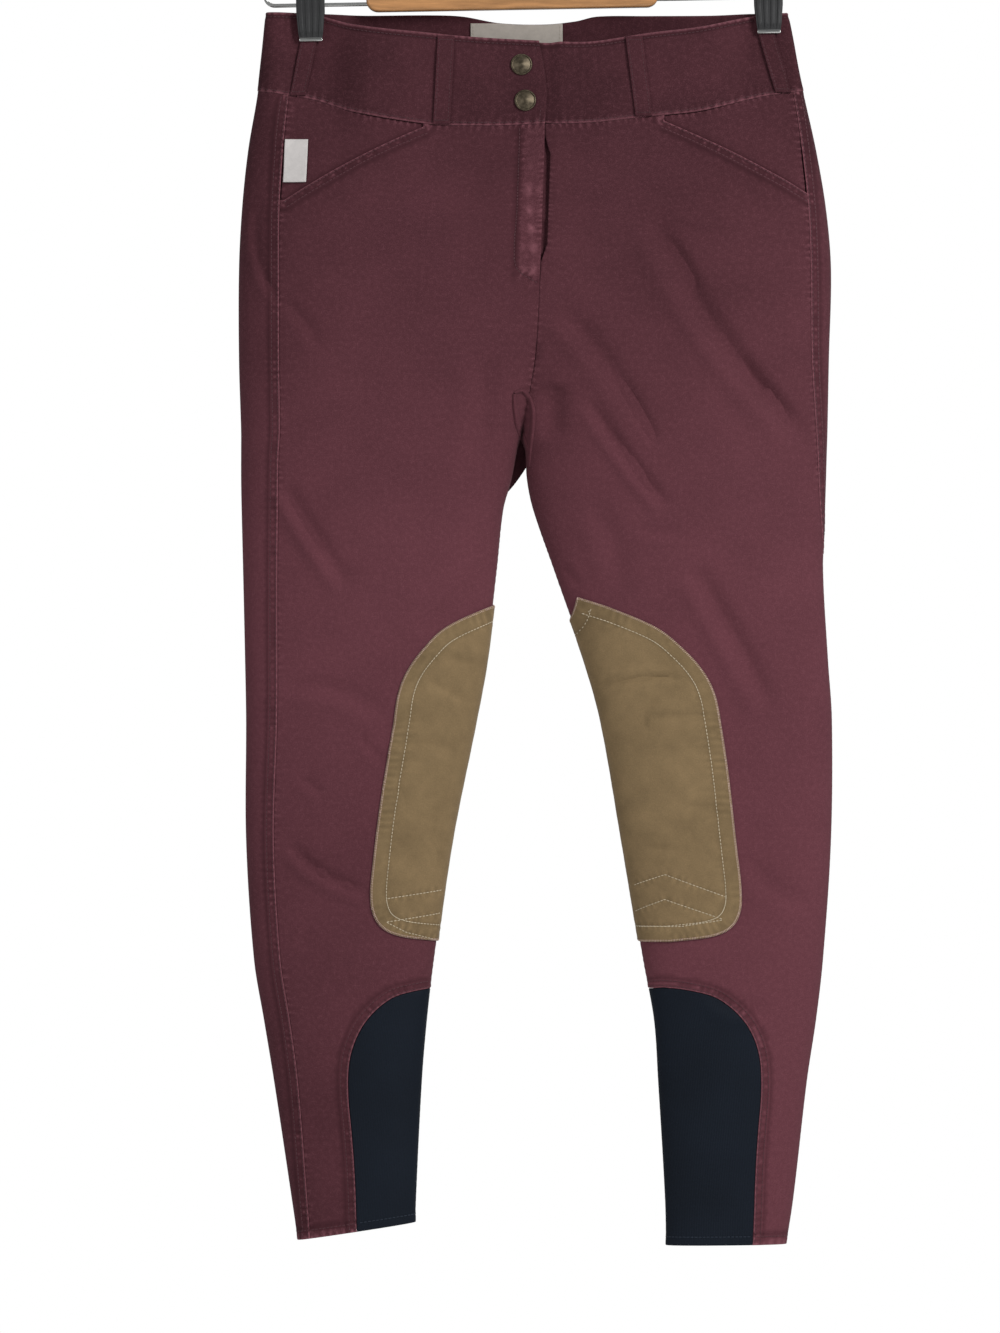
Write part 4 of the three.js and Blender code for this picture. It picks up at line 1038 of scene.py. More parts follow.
def make_fronts():
    for half in HALVES.values():
        flat = FLATS[half.name]
        lines = panel_lines(half, flat, "front")
        mouth = Seam(lines["mouth"], band=7, rows=(1.3, 5.9), height=0.5)
        seams = leg_seams(lines, mouth, Seam(lines["side"], pucker=0.2))
        if half.sign < 0:
            fly = laid_at(flat, "front", *rounded(np.array(FLY_STITCH)).T)
            seams.append(Seam(fly, rows=(0.0,), pucker=0.12))
        sewn_leg("front", flat, lines, seams, front_base(flat))


def make_backs():
    for half in HALVES.values():
        flat = FLATS[half.name]
        lines = panel_lines(half, flat, "back")
        seams = leg_seams(lines, Seam(lines["side"], band=7, rows=(1.3, 5.8), height=0.5))
        if half.sign < 0:
            centre = lines["inner"][lines["inner"][:, 1] < CROTCH]
            seams.append(Seam(centre, band=7, rows=(1.3, 5.8), height=0.45))
        sewn_leg("back", flat, lines, seams)


def make_facings():
    for half in HALVES.values():
        flat = FLATS[half.name]
        pocket = POCKETS[half.name]
        top = BAND_HEIGHT + SEAM_GAP
        reach = np.linspace(pocket[0], pocket[2], 30)
        under = laid_at(flat, "front", reach, mouth_drop(pocket, reach) + FACING_UNDERLAP)
        first = laid_at(flat, "front", pocket[0], drop_of(half, True, top, pocket[0])).ravel()
        levels = down(top, under[-1, 1])
        side = flat.laid(levels, half.seam_across(levels) - 1) - (GAP / 2, 0)
        waist = np.linspace(first, side[0], 12)
        cut = Cut(np.concatenate([waist, side, under[::-1]]))

        def base(xy, flat=flat, pocket=pocket):
            x, drop, _ = plain_place(flat, xy)
            above = mouth_drop(pocket, x) - drop
            # A band of painted shade on the facing, just above the pocket mouth's edge.
            return facing_off(pocket, x, drop), -0.9 * (1 - smooth((above + 1) / 4))

        seams = [Seam(waist, pucker=0.3), Seam(side, pucker=0.2)]
        name = f"pocket_facing_{half.name}"
        sewn_panel(name, flat, cut, "twill", [name], seams, base=base)


# Rows of stitches that cross the knee patches, as x and drop.
KNEE_ROWS = {
    "left": [
        [(96, 662.7), (117.6, 655), (163.2, 671.8)],
        [(97, 682.5), (117.6, 673.9), (159.6, 688.3)],
        [(97.9, 694.6), (130, 694.3), (159.6, 689.6)],
    ],
    "right": [
        [(-92, 673), (-72, 670), (-54, 667)],
        [(-92.7, 690.8), (-72, 687.5), (-55, 684.5)],
        [(-92.7, 691.6), (-79, 698.8), (-58.5, 704.5)],
    ],
}
KNEE_ROW = 11.8


def make_knees():
    for half in HALVES.values():
        flat = WRAPS[half.name]
        front, back = reach_chain(half, KNEE_PATCH, PATCH_TOP, half.patch_turn)
        outline = chain_laid(flat, np.concatenate([front, back]))
        cut = Cut(outline)
        loop = np.concatenate([outline, outline[:1]])
        seams = [Seam(loop, rows=(KNEE_ROW,), pucker=0.2, shade=0.4)]
        for row in KNEE_ROWS[half.name]:
            seams.append(Seam(laid_at(flat, "front", *np.array(row).T), rows=(0.0,), pucker=0.1, shade=0.4))
        name = f"knee_patch_{half.name}"

        def base(xy, flat=flat, cut=cut):
            away = cut.edge(xy)
            nap = 0.10 * np.sin(xy[:, 0] / 5.1 + np.sin(xy[:, 1] / 7)) * np.sin(xy[:, 1] / 6.3 + 2)
            # Darker towards the patch's edge.
            worn = -0.25 * bell(away / 7)
            return GAP + PATCH_CLOTH + nap * smooth(away / 9), worn

        lift = sewn_panel(
            name, flat, cut, "suede", [name], seams, "knee", PATCH_CLOTH, base, pitch=2.7, above=0.16
        )
        whip(THREADS["edging"], flat, cut, loop, lift)


def whip(thread, flat, cut, line, lift, pitch=1.25):
    """Fine slanting stitches over the edge of a patch."""
    line = evenly(line, pitch)[:-1]
    way, inward = directions(line, closed=True)
    if not cut.holds(line + inward).mean() > 0.5:
        inward = -inward
    inner = line + 1.5 * inward + 0.3 * way
    outer = line - 0.35 * inward - 0.3 * way
    high = lift(inner)[0] + 0.16
    start = flat.points(inner, high)
    end = flat.points(outer, GAP + 0.5)
    thread.add(start, end, flat.points(inner, high + 1) - start)


def make_calves():
    for half in HALVES.values():
        flat = WRAPS[half.name]
        front, back = reach_chain(half, CALF_PANEL, CALF_TOP, half.calf_turn, -GAP / 2)
        line = above_hem(chain_laid(flat, np.concatenate([front, back])))
        foot = np.array([(line[-1, 0], LENGTH), (line[0, 0], LENGTH)])
        cut = Cut(np.concatenate([line, foot]))
        hem = np.linspace(foot[0], foot[1], 12)
        seams = [Seam(line, pucker=0.14), Seam(hem, band=7.5, rows=(6.5,), height=0.3, pucker=0.08)]
        name = f"calf_panel_{half.name}"
        sewn_panel(name, flat, cut, "stretch", [name], seams, "hem")


def grid_piece(name, outer, inner, finish, nodes, flat, worn):
    """A closed wall from two even grids of points."""
    rows, columns = outer.shape[:2]
    index = np.arange(rows * columns).reshape(rows, columns)
    a, b, c, d = index[:-1, :-1], index[:-1, 1:], index[1:, 1:], index[1:, :-1]
    top = np.concatenate([np.stack([a, b, c], -1).reshape(-1, 3), np.stack([a, c, d], -1).reshape(-1, 3)])
    loop = np.concatenate([index[0, :], index[1:, -1], index[-1, -2::-1], index[-2:0:-1, 0]])
    after = np.roll(loop, -1)
    rim = np.stack([loop, after, loop, after], axis=1)
    points, faces = closed_shell(outer.reshape(-1, 3), inner.reshape(-1, 3), top, top, rim)
    flat = np.tile(flat.reshape(-1, 2), (2, 1))
    rubbed_and_shaded = np.zeros(len(points))
    rubbed_and_shaded[: rows * columns] = worn.ravel()
    return mesh_piece(name, points, faces, finish, nodes, flat, rubbed_and_shaded)


def edged(count, length):
    """Shares along a length, closer together at both ends."""
    near = np.array([0.0, *EDGE_ROWS]) / length
    return np.concatenate([near, np.linspace(near[-1], 1 - near[-1], count)[1:-1], 1 - near[::-1]])


def stitch_run(thread, at, pitch=3.1, above=0.12):
    """Lays stitches along a line that a function gives for shares and a height over the cloth."""
    shares = np.linspace(0, 1, 300)
    run = run_of(at(shares, 0.0))
    count = max(1, round(run[-1] / pitch))
    middle = (np.arange(count) + 0.5) * run[-1] / count
    a, b = (np.interp(middle + side * 0.41 * pitch, run, shares) for side in (-1, 1))
    middle = np.interp(middle, run, shares)
    thread.add(at(a, above), at(b, above), at(middle, above + 1) - at(middle, above))


BAND_JOINT = {"right": 30, "left": 17}
BAND_FRONT = 200
BAND_LENGTH = 215
BAND_UNDERLAP = -14
BAND_LAP = (11, 2.7)
BAND_TOP_ROW = 3.6
BAND_SEAM_ROW = 2.2
LAP_ROW = 4.5
ROW_SUNK = 0.2
JOINT_STEP = 0.0012


def band_form(run, down_from_top, up_from_seam):
    """The pucker and the pressed rows of the waistband, from distances along and across it, with wear that
    lightens the crests and edges and painted shade in the hollows and the pressed rows.
    """
    height, worn = np.zeros(run.shape), np.zeros(run.shape)
    for k, (away, row) in enumerate(((down_from_top, BAND_TOP_ROW), (up_from_seam, BAND_SEAM_ROW))):
        tick = np.sin(run * 2 * np.pi / (5.6 + k) + 1.5 * np.sin(run / 13 + k) + 0.8 * np.sin(run / 4.1))
        near = bell(away / (row + 2.4)) * (0.6 + 0.4 * np.sin(run / 27 + k))
        pressed = bell((away - row) / 0.6)
        height += 0.16 * tick * near - 0.42 * pressed
        # Painted shade in the pucker's hollows and the pressed rows; wear on the crests and near the edges.
        worn += 0.4 * tick * near - 1.1 * pressed + 0.75 * bell(away / 1.9)
    slow = 0.35 * np.sin(run / 31 + 1.1 * np.sin(down_from_top / 19)) * np.sin(down_from_top / 21 + run / 57)
    slow += 0.22 * np.sin(run / 9.5 + down_from_top / 14) * np.sin(run / 43)
    return height + slow * smooth(down_from_top / 9) * smooth(up_from_seam / 9), worn


def band_part(name, points_at, columns):
    """One part of the waistband. The function gives points for shares round it, levels and heights."""
    rows = edged(30, BAND_HEIGHT)
    across, level = np.meshgrid(columns, rows * BAND_HEIGHT)
    middle = points_at(across, level, np.zeros(across.shape))
    along_run = np.linalg.norm(np.diff(middle, axis=1), axis=2)
    run = np.concatenate([np.zeros((len(rows), 1)), np.cumsum(along_run, axis=1)], axis=1)
    fall = np.linalg.norm(np.diff(middle, axis=0), axis=2)
    fallen = np.concatenate([np.zeros((1, len(columns))), np.cumsum(fall, axis=0)], axis=0)
    left = fallen[-1] - fallen
    height, worn = band_form(run, fallen, left)
    edge = np.minimum(np.minimum(fallen, left), np.minimum(run, run[:, -1:] - run))
    half = BAND_CLOTH / 2
    full = half * edge_roll(edge, half)
    centre = BAND_PROUD - half
    outer = points_at(across, level, centre + full + height * smooth(edge / 1.5))
    inner = points_at(across, level, centre - full)
    flat = np.stack([run - run[:, -1:] / 2, fallen], axis=-1)
    piece = grid_piece(name, outer, inner, "band", [name], flat, worn)
    PIECES[name] = piece, (float(run[0, -1] + run[-1, -1]) / 2, float(fallen[-1].mean()))
    return lambda share, at_level, above: points_at(
        share, at_level, np.full(np.shape(share), BAND_PROUD - ROW_SUNK + above)
    )


def band_right(share, level, height):
    """The right front of the waistband, from the lap's edge to its joint under the side loop."""
    half = HALVES["right"]
    joint = skin(half, level, half.seam_across(level, BAND_JOINT["right"]) - JOINT_STEP)[..., 0]
    x = mix(LAP(level), joint, share)
    return off_at("front", x, mix(TOP["front"](x), SEAM["front"](x), level / BAND_HEIGHT), height)


def band_left(share, level, height):
    """The left front, which runs on under the right one."""
    half = HALVES["left"]
    joint = skin(half, level, half.seam_across(level, BAND_JOINT["left"]) - JOINT_STEP)[..., 0]
    x = mix(BAND_UNDERLAP, joint, share)
    ramp, inset = BAND_LAP
    under = 1 - smooth((x - CENTRE - 2) / ramp)
    drop = mix(TOP["front"](x) + under, SEAM["front"](x), level / BAND_HEIGHT)
    return off_at("front", x, drop, height - inset * under)


def band_back(share, level, height):
    """The back of the waistband, from joint to joint."""
    result = np.zeros(np.shape(share) + (3,))
    for half, mine, inward in (
        (HALVES["right"], share < 0.5, share * 2),
        (HALVES["left"], share >= 0.5, 2 - share * 2),
    ):
        joint = half.seam_across(level, BAND_JOINT[half.name]) + JOINT_STEP
        across = mix(joint, 2.0, np.clip(inward, 0, 1))
        result[mine] = off(half, level[mine], across[mine], height[mine])
    return result


def rows_on_band(thread, surface_at, first=0.0, last=1.0, lap=False):
    """The two rows of stitches along a part of the waistband, and the one beside the lap's edge."""
    for level in (BAND_TOP_ROW * 0.95, BAND_HEIGHT - BAND_SEAM_ROW * 0.95):
        def at(share, above, level=level):
            share = mix(first, last, share)
            return surface_at(share, np.full(share.shape, float(level)), above)

        stitch_run(thread, at)
    if lap:
        def beside(share, above):
            level = mix(BAND_TOP_ROW + 1, BAND_HEIGHT - BAND_SEAM_ROW, share)
            return surface_at(np.full(share.shape, LAP_ROW / BAND_FRONT), level, above)

        stitch_run(thread, beside)


def make_waistband():
    thread = THREADS["band"]
    count = 1
    right = band_part("waistband_front_right", band_right, edged(round(95 * count), BAND_FRONT))
    rows_on_band(thread, right, lap=True)
    left = band_part("waistband_front_left", band_left, edged(round(105 * count), BAND_LENGTH))
    rows_on_band(thread, left, first=0.25)
    half = edged(round(80 * count), BAND_LENGTH)[:-3] / 2
    back = band_part("waistband_back", band_back, np.concatenate([half, 1 - half[::-1]]))
    rows_on_band(thread, back, last=0.4999)
    rows_on_band(thread, back, first=0.5001)


def strip_piece(
    name, places, low, high, rows, columns, width, length, finish="twill", form=None, nodes=True, rubbed_and_shaded=0.0
):
    """A strip of cloth, such as a loop or label, on a grid of shares down and across it."""
    down_share, across_share = np.meshgrid(rows, columns, indexing="ij")
    edge = np.minimum(
        np.minimum(down_share, 1 - down_share) * length, np.minimum(across_share, 1 - across_share) * width
    )
    half = (high - low) / 2
    full = half * edge_roll(edge, min(half, 0.8))
    more = 0 if form is None else form(down_share, across_share)
    outer = places(down_share, across_share, (low + high) / 2 + full + more)
    inner = places(down_share, across_share, (low + high) / 2 - full)
    flat = np.stack([(across_share - 0.5) * width, down_share * length], axis=-1)
    piece = grid_piece(name, outer, inner, finish, [name] if nodes else [], flat, rubbed_and_shaded + 0 * edge)
    PIECES[name] = piece, (width, length) if width > FOLD_WIDTH else None


LOOP_EDGE_ROW = 1.7
LOOP_PRESSED = 0.28
LOOP_BOW = 0.5


def make_loops():
    thread = THREADS["band"]
    for name, face, x_top, x_bottom, width in BELT_LOOPS:
        first, last = TOP[face](x_top) + 1.3, SEAM[face](x_bottom) - 0.3
        low = BAND_PROUD + GAP

        def places(t, u, height, face=face, ends=(x_top, x_bottom), width=width, drops=(first, last)):
            x = mix(*ends, t) + (u - 0.5) * width
            return off_at(face, x, mix(*drops, t) + 0 * u, height)

        def form(t, u, width=width):
            across = np.abs(u - 0.5) * width
            ridge = -LOOP_PRESSED * bell((across - width / 2 + LOOP_EDGE_ROW) / 0.5)
            bow = LOOP_BOW * np.sin(np.pi * t) ** 0.7
            return ridge + bow + 0.12 * np.sin(t * 40 + 4 * u) * bell(across - width / 2)

        length = float(last - first)
        high = low + LOOP_CLOTH
        strip_piece(name, places, low, high, edged(22, length), edged(10, width), width, length, "band", form)
        for u in (LOOP_EDGE_ROW / width, 1 - LOOP_EDGE_ROW / width):
            def beside(t, above, u=u, places=places):
                bow = LOOP_BOW * np.sin(np.pi * t) ** 0.7
                return places(mix(0.03, 0.97, t), np.full(t.shape, u), high - LOOP_PRESSED + bow + above)

            stitch_run(thread, beside, pitch=2.9)
        for t in (0.045, 0.955):
            def tack(u, above, t=t, places=places):
                return places(np.full(u.shape, t), mix(0.12, 0.88, u), high + 0.02 + above)

            stitch_run(thread, tack, pitch=1.3)


SHIELD = (-2, 41, 89.5, 203)
SHIELD_FLAT = (43, 113)
# The seam allowance behind the centre front, below the fly.
ALLOWANCE = 18
ALLOWANCE_DROPS = (204.5, 312)
SIDE_LABEL = (-170.5, -153, 98, 130.5)
BACK_LABEL = (-30, 40, 7.5, 46)


def make_fly_shield():
    left, right, top, bottom = SHIELD
    low = -(CLOTH + 1.6 + GAP + SHIELD_CLOTH)

    def places(t, u, height):
        rounding = 16 * smooth((t - 0.75) / 0.25)
        return off_at("front", mix(left + rounding, right, u), mix(top, bottom, t) + 0 * u, height)

    width, length = SHIELD_FLAT
    rows, columns = edged(36, length), edged(14, width)
    strip_piece("fly_shield", places, low, low + SHIELD_CLOTH, rows, columns, width, length)

    def allowance(t, u, height):
        drop = mix(*ALLOWANCE_DROPS, t) + 0 * u
        return off_at("front", RIGHT_IN(drop) + (u - 0.5) * ALLOWANCE, drop, height)

    length = ALLOWANCE_DROPS[1] - ALLOWANCE_DROPS[0]
    high = -(CLOTH + GAP)
    strip_piece(
        "seam_allowance", allowance, high - CLOTH, high, edged(36, length), edged(8, ALLOWANCE),
        ALLOWANCE, length, nodes=False,
    )


# The crotch seen from the front: a gusset of the backs between the legs, darkened with painted shade, and two
# small folds before it.
GUSSET = {"left": -9, "right": 15.6, "top": 300, "bottom_left": 372, "bottom_right": 341, "behind": 9}
CROTCH_FOLDS = [
    [(3.5, 290.5), (9.5, 288.5), (14.2, 293.5), (17.2, 304), (16.6, 318), (14.8, 332), (14.0, 346)],
    [(3.2, 291), (4.2, 303), (6.4, 315), (10.2, 325), (14.6, 336)],
]
FOLD_WIDTH = 4.4
FOLD_CLOTH = 0.9
FOLD_STEP = 0.9


def make_crotch():
    height_of_gusset = GUSSET["bottom_left"] - GUSSET["top"]
    width = GUSSET["right"] - GUSSET["left"]

    def gusset(t, u, height):
        foot = mix(GUSSET["bottom_left"], GUSSET["bottom_right"], u) + 2.5 * np.sin(np.pi * u)
        drop = mix(GUSSET["top"], foot, t)
        x = mix(GUSSET["left"], GUSSET["right"], u)
        depth = GUSSET["behind"] * (1 - 0.5 * u * u) - 1.2 * np.sin(drop / 5) * u
        return np.stack([x, depth - height, BAND_TOP - drop], axis=-1)

    # The gusset's colour is darkened with painted shade.
    strip_piece(
        "crotch_gusset", gusset, -CLOTH, 0, edged(30, height_of_gusset), edged(14, width), width,
        height_of_gusset - 12, nodes=False, rubbed_and_shaded=-1.4,
    )
    for k, route in enumerate(CROTCH_FOLDS):
        line = evenly(rounded(np.array(route)), FOLD_STEP)
        across = directions(line)[1]
        length = FOLD_STEP * (len(line) - 1)

        def fold(t, u, height, line=line, across=across):
            at = t * (len(line) - 1)
            i = np.clip(at.astype(int), 0, len(line) - 2)
            middle = mix(line[i], line[i + 1], (at - i)[..., None])
            taper = 0.45 + 0.55 * np.sin(np.pi * np.clip(t, 0.02, 0.98)) ** 0.5
            flat_place = middle + across[i] * ((u - 0.5) * FOLD_WIDTH * taper)[..., None]
            crown = 2.0 * (1 - (2 * u - 1) ** 2) * taper
            points = off_at("front", flat_place[..., 0], flat_place[..., 1], 0.3)
            points[..., 0] = flat_place[..., 0]
            points[..., 1] -= crown + height
            return points

        strip_piece(
            f"crotch_fold_{k + 1}", fold, -FOLD_CLOTH, 0, edged(40, length), edged(8, FOLD_WIDTH),
            FOLD_WIDTH, length, nodes=False,
        )


def make_labels():
    x0, x1, top, bottom = SIDE_LABEL
    pocket = POCKETS["right"]

    def tab(t, u, height):
        x = mix(x0, x1, u) - 1.5 * t
        drop = mix(top, bottom, t) + 0 * u
        curl = 0.5 * smooth((t - 0.7) / 0.3) + 0.3 * (2 * u - 1) ** 2
        return off_at("front", x, drop, facing_off(pocket, x, drop) + height + curl)

    low = 2 * GAP
    width, length = x1 - x0, bottom - top
    rows, columns = edged(18, length), edged(10, width)
    strip_piece("side_label", tab, low, low + LABEL_CLOTH, rows, columns, width, length, "tab")
    left, right, upper, lower = BACK_LABEL
    inside = BAND_PROUD - BAND_CLOTH - GAP

    def back(t, u, height):
        x = mix(left, right, u)
        slack = 0.35 * np.sin(u * 11) * smooth(t / 0.3)
        return off_at("back", x, mix(upper, lower, t) + 0 * u, height - np.abs(slack))

    width, length = right - left, lower - upper
    rows, columns = edged(18, length), edged(26, width)
    strip_piece("back_label", back, inside - LABEL_CLOTH, inside, rows, columns, width, length, "label")
    for u in (0.03, 0.97):
        def beside(t, above, u=u):
            return back(mix(0.04, 0.96, t), np.full(t.shape, u), inside - LABEL_CLOTH - above)

        stitch_run(THREADS["label"], beside, pitch=2.6)


def make_stitching(look):
    """Joins each kind of sewing thread into one piece."""
    for thread in THREADS.values():
        points, faces = thread.mesh(look.stitch_width / MM)
        mesh_piece(thread.name, points, faces, thread.finish, sharp=80)


def only(piece):
    """Makes a piece the only one that the next operators act on."""
    bpy.ops.object.select_all(action="DESELECT")
    piece.select_set(True)
    bpy.context.view_layer.objects.active = piece


def started(name):
    """The primitive that was just added, under its name."""
    piece = bpy.context.active_object
    piece.name = name
    piece.data.name = name
    only(piece)
    return piece


def chosen(piece, kind, wanted):
    """Selects the faces, edges or corners of a piece whose middle and direction are wanted, in edit mode."""
    if bpy.context.mode != "EDIT_MESH":
        bpy.ops.object.mode_set(mode="EDIT")
    bpy.ops.mesh.select_mode(type=kind)
    bpy.ops.mesh.select_all(action="DESELECT")
    mesh = bmesh.from_edit_mesh(piece.data)
    if kind == "FACE":
        for face in mesh.faces:
            face.select_set(bool(wanted(face.calc_center_median() / MM, face.normal)))
    elif kind == "EDGE":
        for edge in mesh.edges:
            a, b = (v.co / MM for v in edge.verts)
            edge.select_set(bool(wanted((a + b) / 2, (b - a).normalized())))
    else:
        for vertex in mesh.verts:
            vertex.select_set(bool(wanted(vertex.co / MM, None)))
    bmesh.update_edit_mesh(piece.data)


def edited():
    """Opens the active piece in edit mode with all of it selected."""
    bpy.ops.object.mode_set(mode="EDIT")
    bpy.ops.mesh.select_all(action="SELECT")


def applied():
    """Puts the active piece's place and size into its mesh."""
    bpy.ops.object.transform_apply(location=True, rotation=True, scale=True)


def bevelled(offset, segments):
    bpy.ops.mesh.bevel(offset=offset * MM, segments=segments, affect="EDGES")


def block_started(name, size, middle):
    """A block with its size and middle in millimetres."""
    bpy.ops.mesh.primitive_cube_add(size=1, location=(0, 0, 0))
    block = started(name)
    block.scale = Vector(size) * MM
    block.location = Vector(middle) * MM
    applied()
    return block


def done(piece, node, finish, place, sharp):
    """Ends the modelling of a hard piece: its place goes into its mesh, and it gets its finish."""
    if bpy.context.mode == "EDIT_MESH":
        bpy.ops.mesh.select_all(action="SELECT")
        bpy.ops.mesh.remove_doubles(threshold=1e-6)
        bpy.ops.mesh.normals_make_consistent(inside=False)
        bpy.ops.object.mode_set(mode="OBJECT")
    only(piece)
    for modifier in list(piece.modifiers):
        bpy.ops.object.modifier_apply(modifier=modifier.name)
    applied()
    piece.data.transform(place)
    bpy.ops.object.shade_smooth_by_angle(angle=math.radians(sharp))
    piece.data.materials.clear()
    piece.data.materials.append(FINISH[finish])
    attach(piece, "root")
    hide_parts(node)
    piece.name = piece.data.name = f"{node}_fine"


SNAP_RADIUS = 8.2


def make_snaps():
    """Domed caps with a rolled rim and a groove inside it."""
    for name, (x, drop) in SNAPS.items():
        bpy.ops.mesh.primitive_cylinder_add(
            vertices=56, radius=SNAP_RADIUS * MM, depth=1.1 * MM, location=(0, 0, 0.55 * MM)
        )
        cap = started(name)
        chosen(cap, "FACE", lambda c, n: n.z > 0.9)
        for inset, rise in ((0.35, 0.45), (0.55, 0.0), (0.4, -0.55), (0.35, -0.1)):
            bpy.ops.mesh.inset(thickness=inset * MM, depth=rise * MM)
        dome = SNAP_RADIUS - 1.65
        for share, rise in ((0.34, 0.95), (0.24, 0.5), (0.17, 0.3), (0.12, 0.14), (0.07, 0.06)):
            bpy.ops.mesh.inset(thickness=dome * share * MM, depth=rise * MM)
        chosen(cap, "EDGE", lambda c, d: abs(d.z) < 0.1 and c.xy.length > SNAP_RADIUS - 0.5)
        bevelled(0.22, 2)
        spot = np.array([x]), np.array([drop])
        foot, above = (off_at("front", *spot, BAND_PROUD + GAP + up)[0] for up in (0, 1))
        turn = Vector((above - foot).tolist()).to_track_quat("Z", "Y").to_matrix().to_4x4()
        place = Matrix.Translation(Vector((foot * MM).tolist())) @ turn
        done(cap, name, "brass", place, 28)


# The hanger, in its own frame with the hook's crown at the origin.
LEAN = math.radians(1)
TILT = Matrix.Rotation(-LEAN, 4, "Y")
BAR_HALF, BAR_TOP, BAR_BOTTOM, BAR_DEPTH, BAR_BEVEL, BAR_CORNER = 111, -73, -108.5, 14, 2.5, 9
WIRE, HOOK_INNER, NECK_SUNK = 1.9, 20, 15.7
ARM_WIRE, ARM_LOWER, ARM_UPPER, ARM_SUNK = 1.5, -102.4, -88.4, 11.7
ARM_ENDS = {"right": (-1, 187.5), "left": (1, 224)}
JAW_BOTTOM, LIP, LIP_DEPTH, LIP_WIDTH, JAW_PLATE = -130.3, 2.2, 2.6, 18, 1.2
JAW_FRONT = PINCHED + BAND_PROUD + GAP + LOOP_CLOTH + GAP
JAW_BACK = PINCHED + BAND_PROUD + GAP
ARM_Y = (JAW_BACK - JAW_FRONT) / 2
JAW_REACH = (JAW_FRONT + JAW_BACK) / 2
# A grip's plate at steps up from the jaw's bottom: up, out, width, thickness.
GRIP = [
    (2.6, 2.0, 17.6, 0.9),
    (7, 2.4, 19, 1.3),
    (22, 2.4, 21.5, 1.3),
    (36, 3.2, 21.5, 1.3),
    (47, 5.6, 19, 1.1),
]
RIBS = 4


def make_bar():
    """The wooden bar, with rounded ends and eased edges."""
    size = 2 * BAR_HALF, BAR_DEPTH, BAR_TOP - BAR_BOTTOM
    bar = block_started("hanger_bar", size, (0, 0, (BAR_TOP + BAR_BOTTOM) / 2))
    chosen(bar, "EDGE", lambda c, d: abs(d.y) > 0.9)
    bevelled(BAR_CORNER, 8)
    chosen(bar, "EDGE", lambda c, d: abs(d.y) < 0.1)
    bevelled(BAR_BEVEL, 5)
    done(bar, "hanger_bar", "wood", TILT, 40)


def wire_started(name, radius, centre, turn):
    """The round end of a wire, ready to be drawn out."""
    bpy.ops.mesh.primitive_circle_add(
        vertices=20, radius=radius * MM, fill_type="NGON", location=Vector(centre) * MM, rotation=turn
    )
    wire = started(name)
    applied()
    edited()
    return wire


def pulled(step):
    """Extrudes what is selected by a step in millimetres."""
    bpy.ops.mesh.extrude_region_move(TRANSFORM_OT_translate={"value": Vector(step) * MM})


def swept(angle, centre, steps):
    """Turns what is selected clockwise round a centre, in the plane of the hanger."""
    turn = math.radians(-angle)
    middle = Vector(centre) * MM
    bpy.ops.mesh.spin(steps=steps, angle=turn, center=middle, axis=(0, 1, 0), use_auto_merge=False)


def make_hook():
    """The hook: a straight neck, a turn out to the side, and three quarters of a circle over the rail."""
    r = HOOK_INNER + WIRE
    bend = 12
    start = r * math.cos(math.radians(-45)), -HOOK_INNER + r * math.sin(math.radians(-45))
    corner = start[1] - start[0]
    neck_top = corner - bend * math.tan(math.radians(22.5))
    foot = BAR_TOP - NECK_SUNK
    wire = wire_started("hanger_hook", WIRE, (0, 0, foot), (0, 0, 0))
    pulled((0, 0, neck_top - foot))
    swept(45, (bend, 0, neck_top), 8)
    slant = math.radians(45)
    out = bend - bend * math.cos(slant), neck_top + bend * math.sin(slant)
    pulled((start[0] - out[0], 0, start[1] - out[1]))
    swept(-250, (0, 0, -HOOK_INNER), 56)
    bpy.ops.mesh.inset(thickness=0.45 * MM, depth=0.4 * MM)
    bpy.ops.mesh.inset(thickness=0.7 * MM, depth=0.3 * MM)
    done(wire, "hanger_hook", "chrome", TILT, 50)


def make_arms():
    """Wire loops out of the bar's ends."""
    for side, (sign, end) in ARM_ENDS.items():
        start = BAR_HALF - ARM_SUNK
        turn = (ARM_UPPER - ARM_LOWER) / 2
        foot = (sign * start, ARM_Y, ARM_LOWER)
        name = f"hanger_arm_{side}"
        wire = wire_started(name, ARM_WIRE, foot, (0, sign * math.radians(90), 0))
        straight = end - turn - start
        pulled((sign * straight, 0, 0))
        swept(-sign * 180, (sign * (end - turn), ARM_Y, (ARM_LOWER + ARM_UPPER) / 2), 20)
        pulled((-sign * straight, 0, 0))
        done(wire, name, "chrome", TILT, 50)


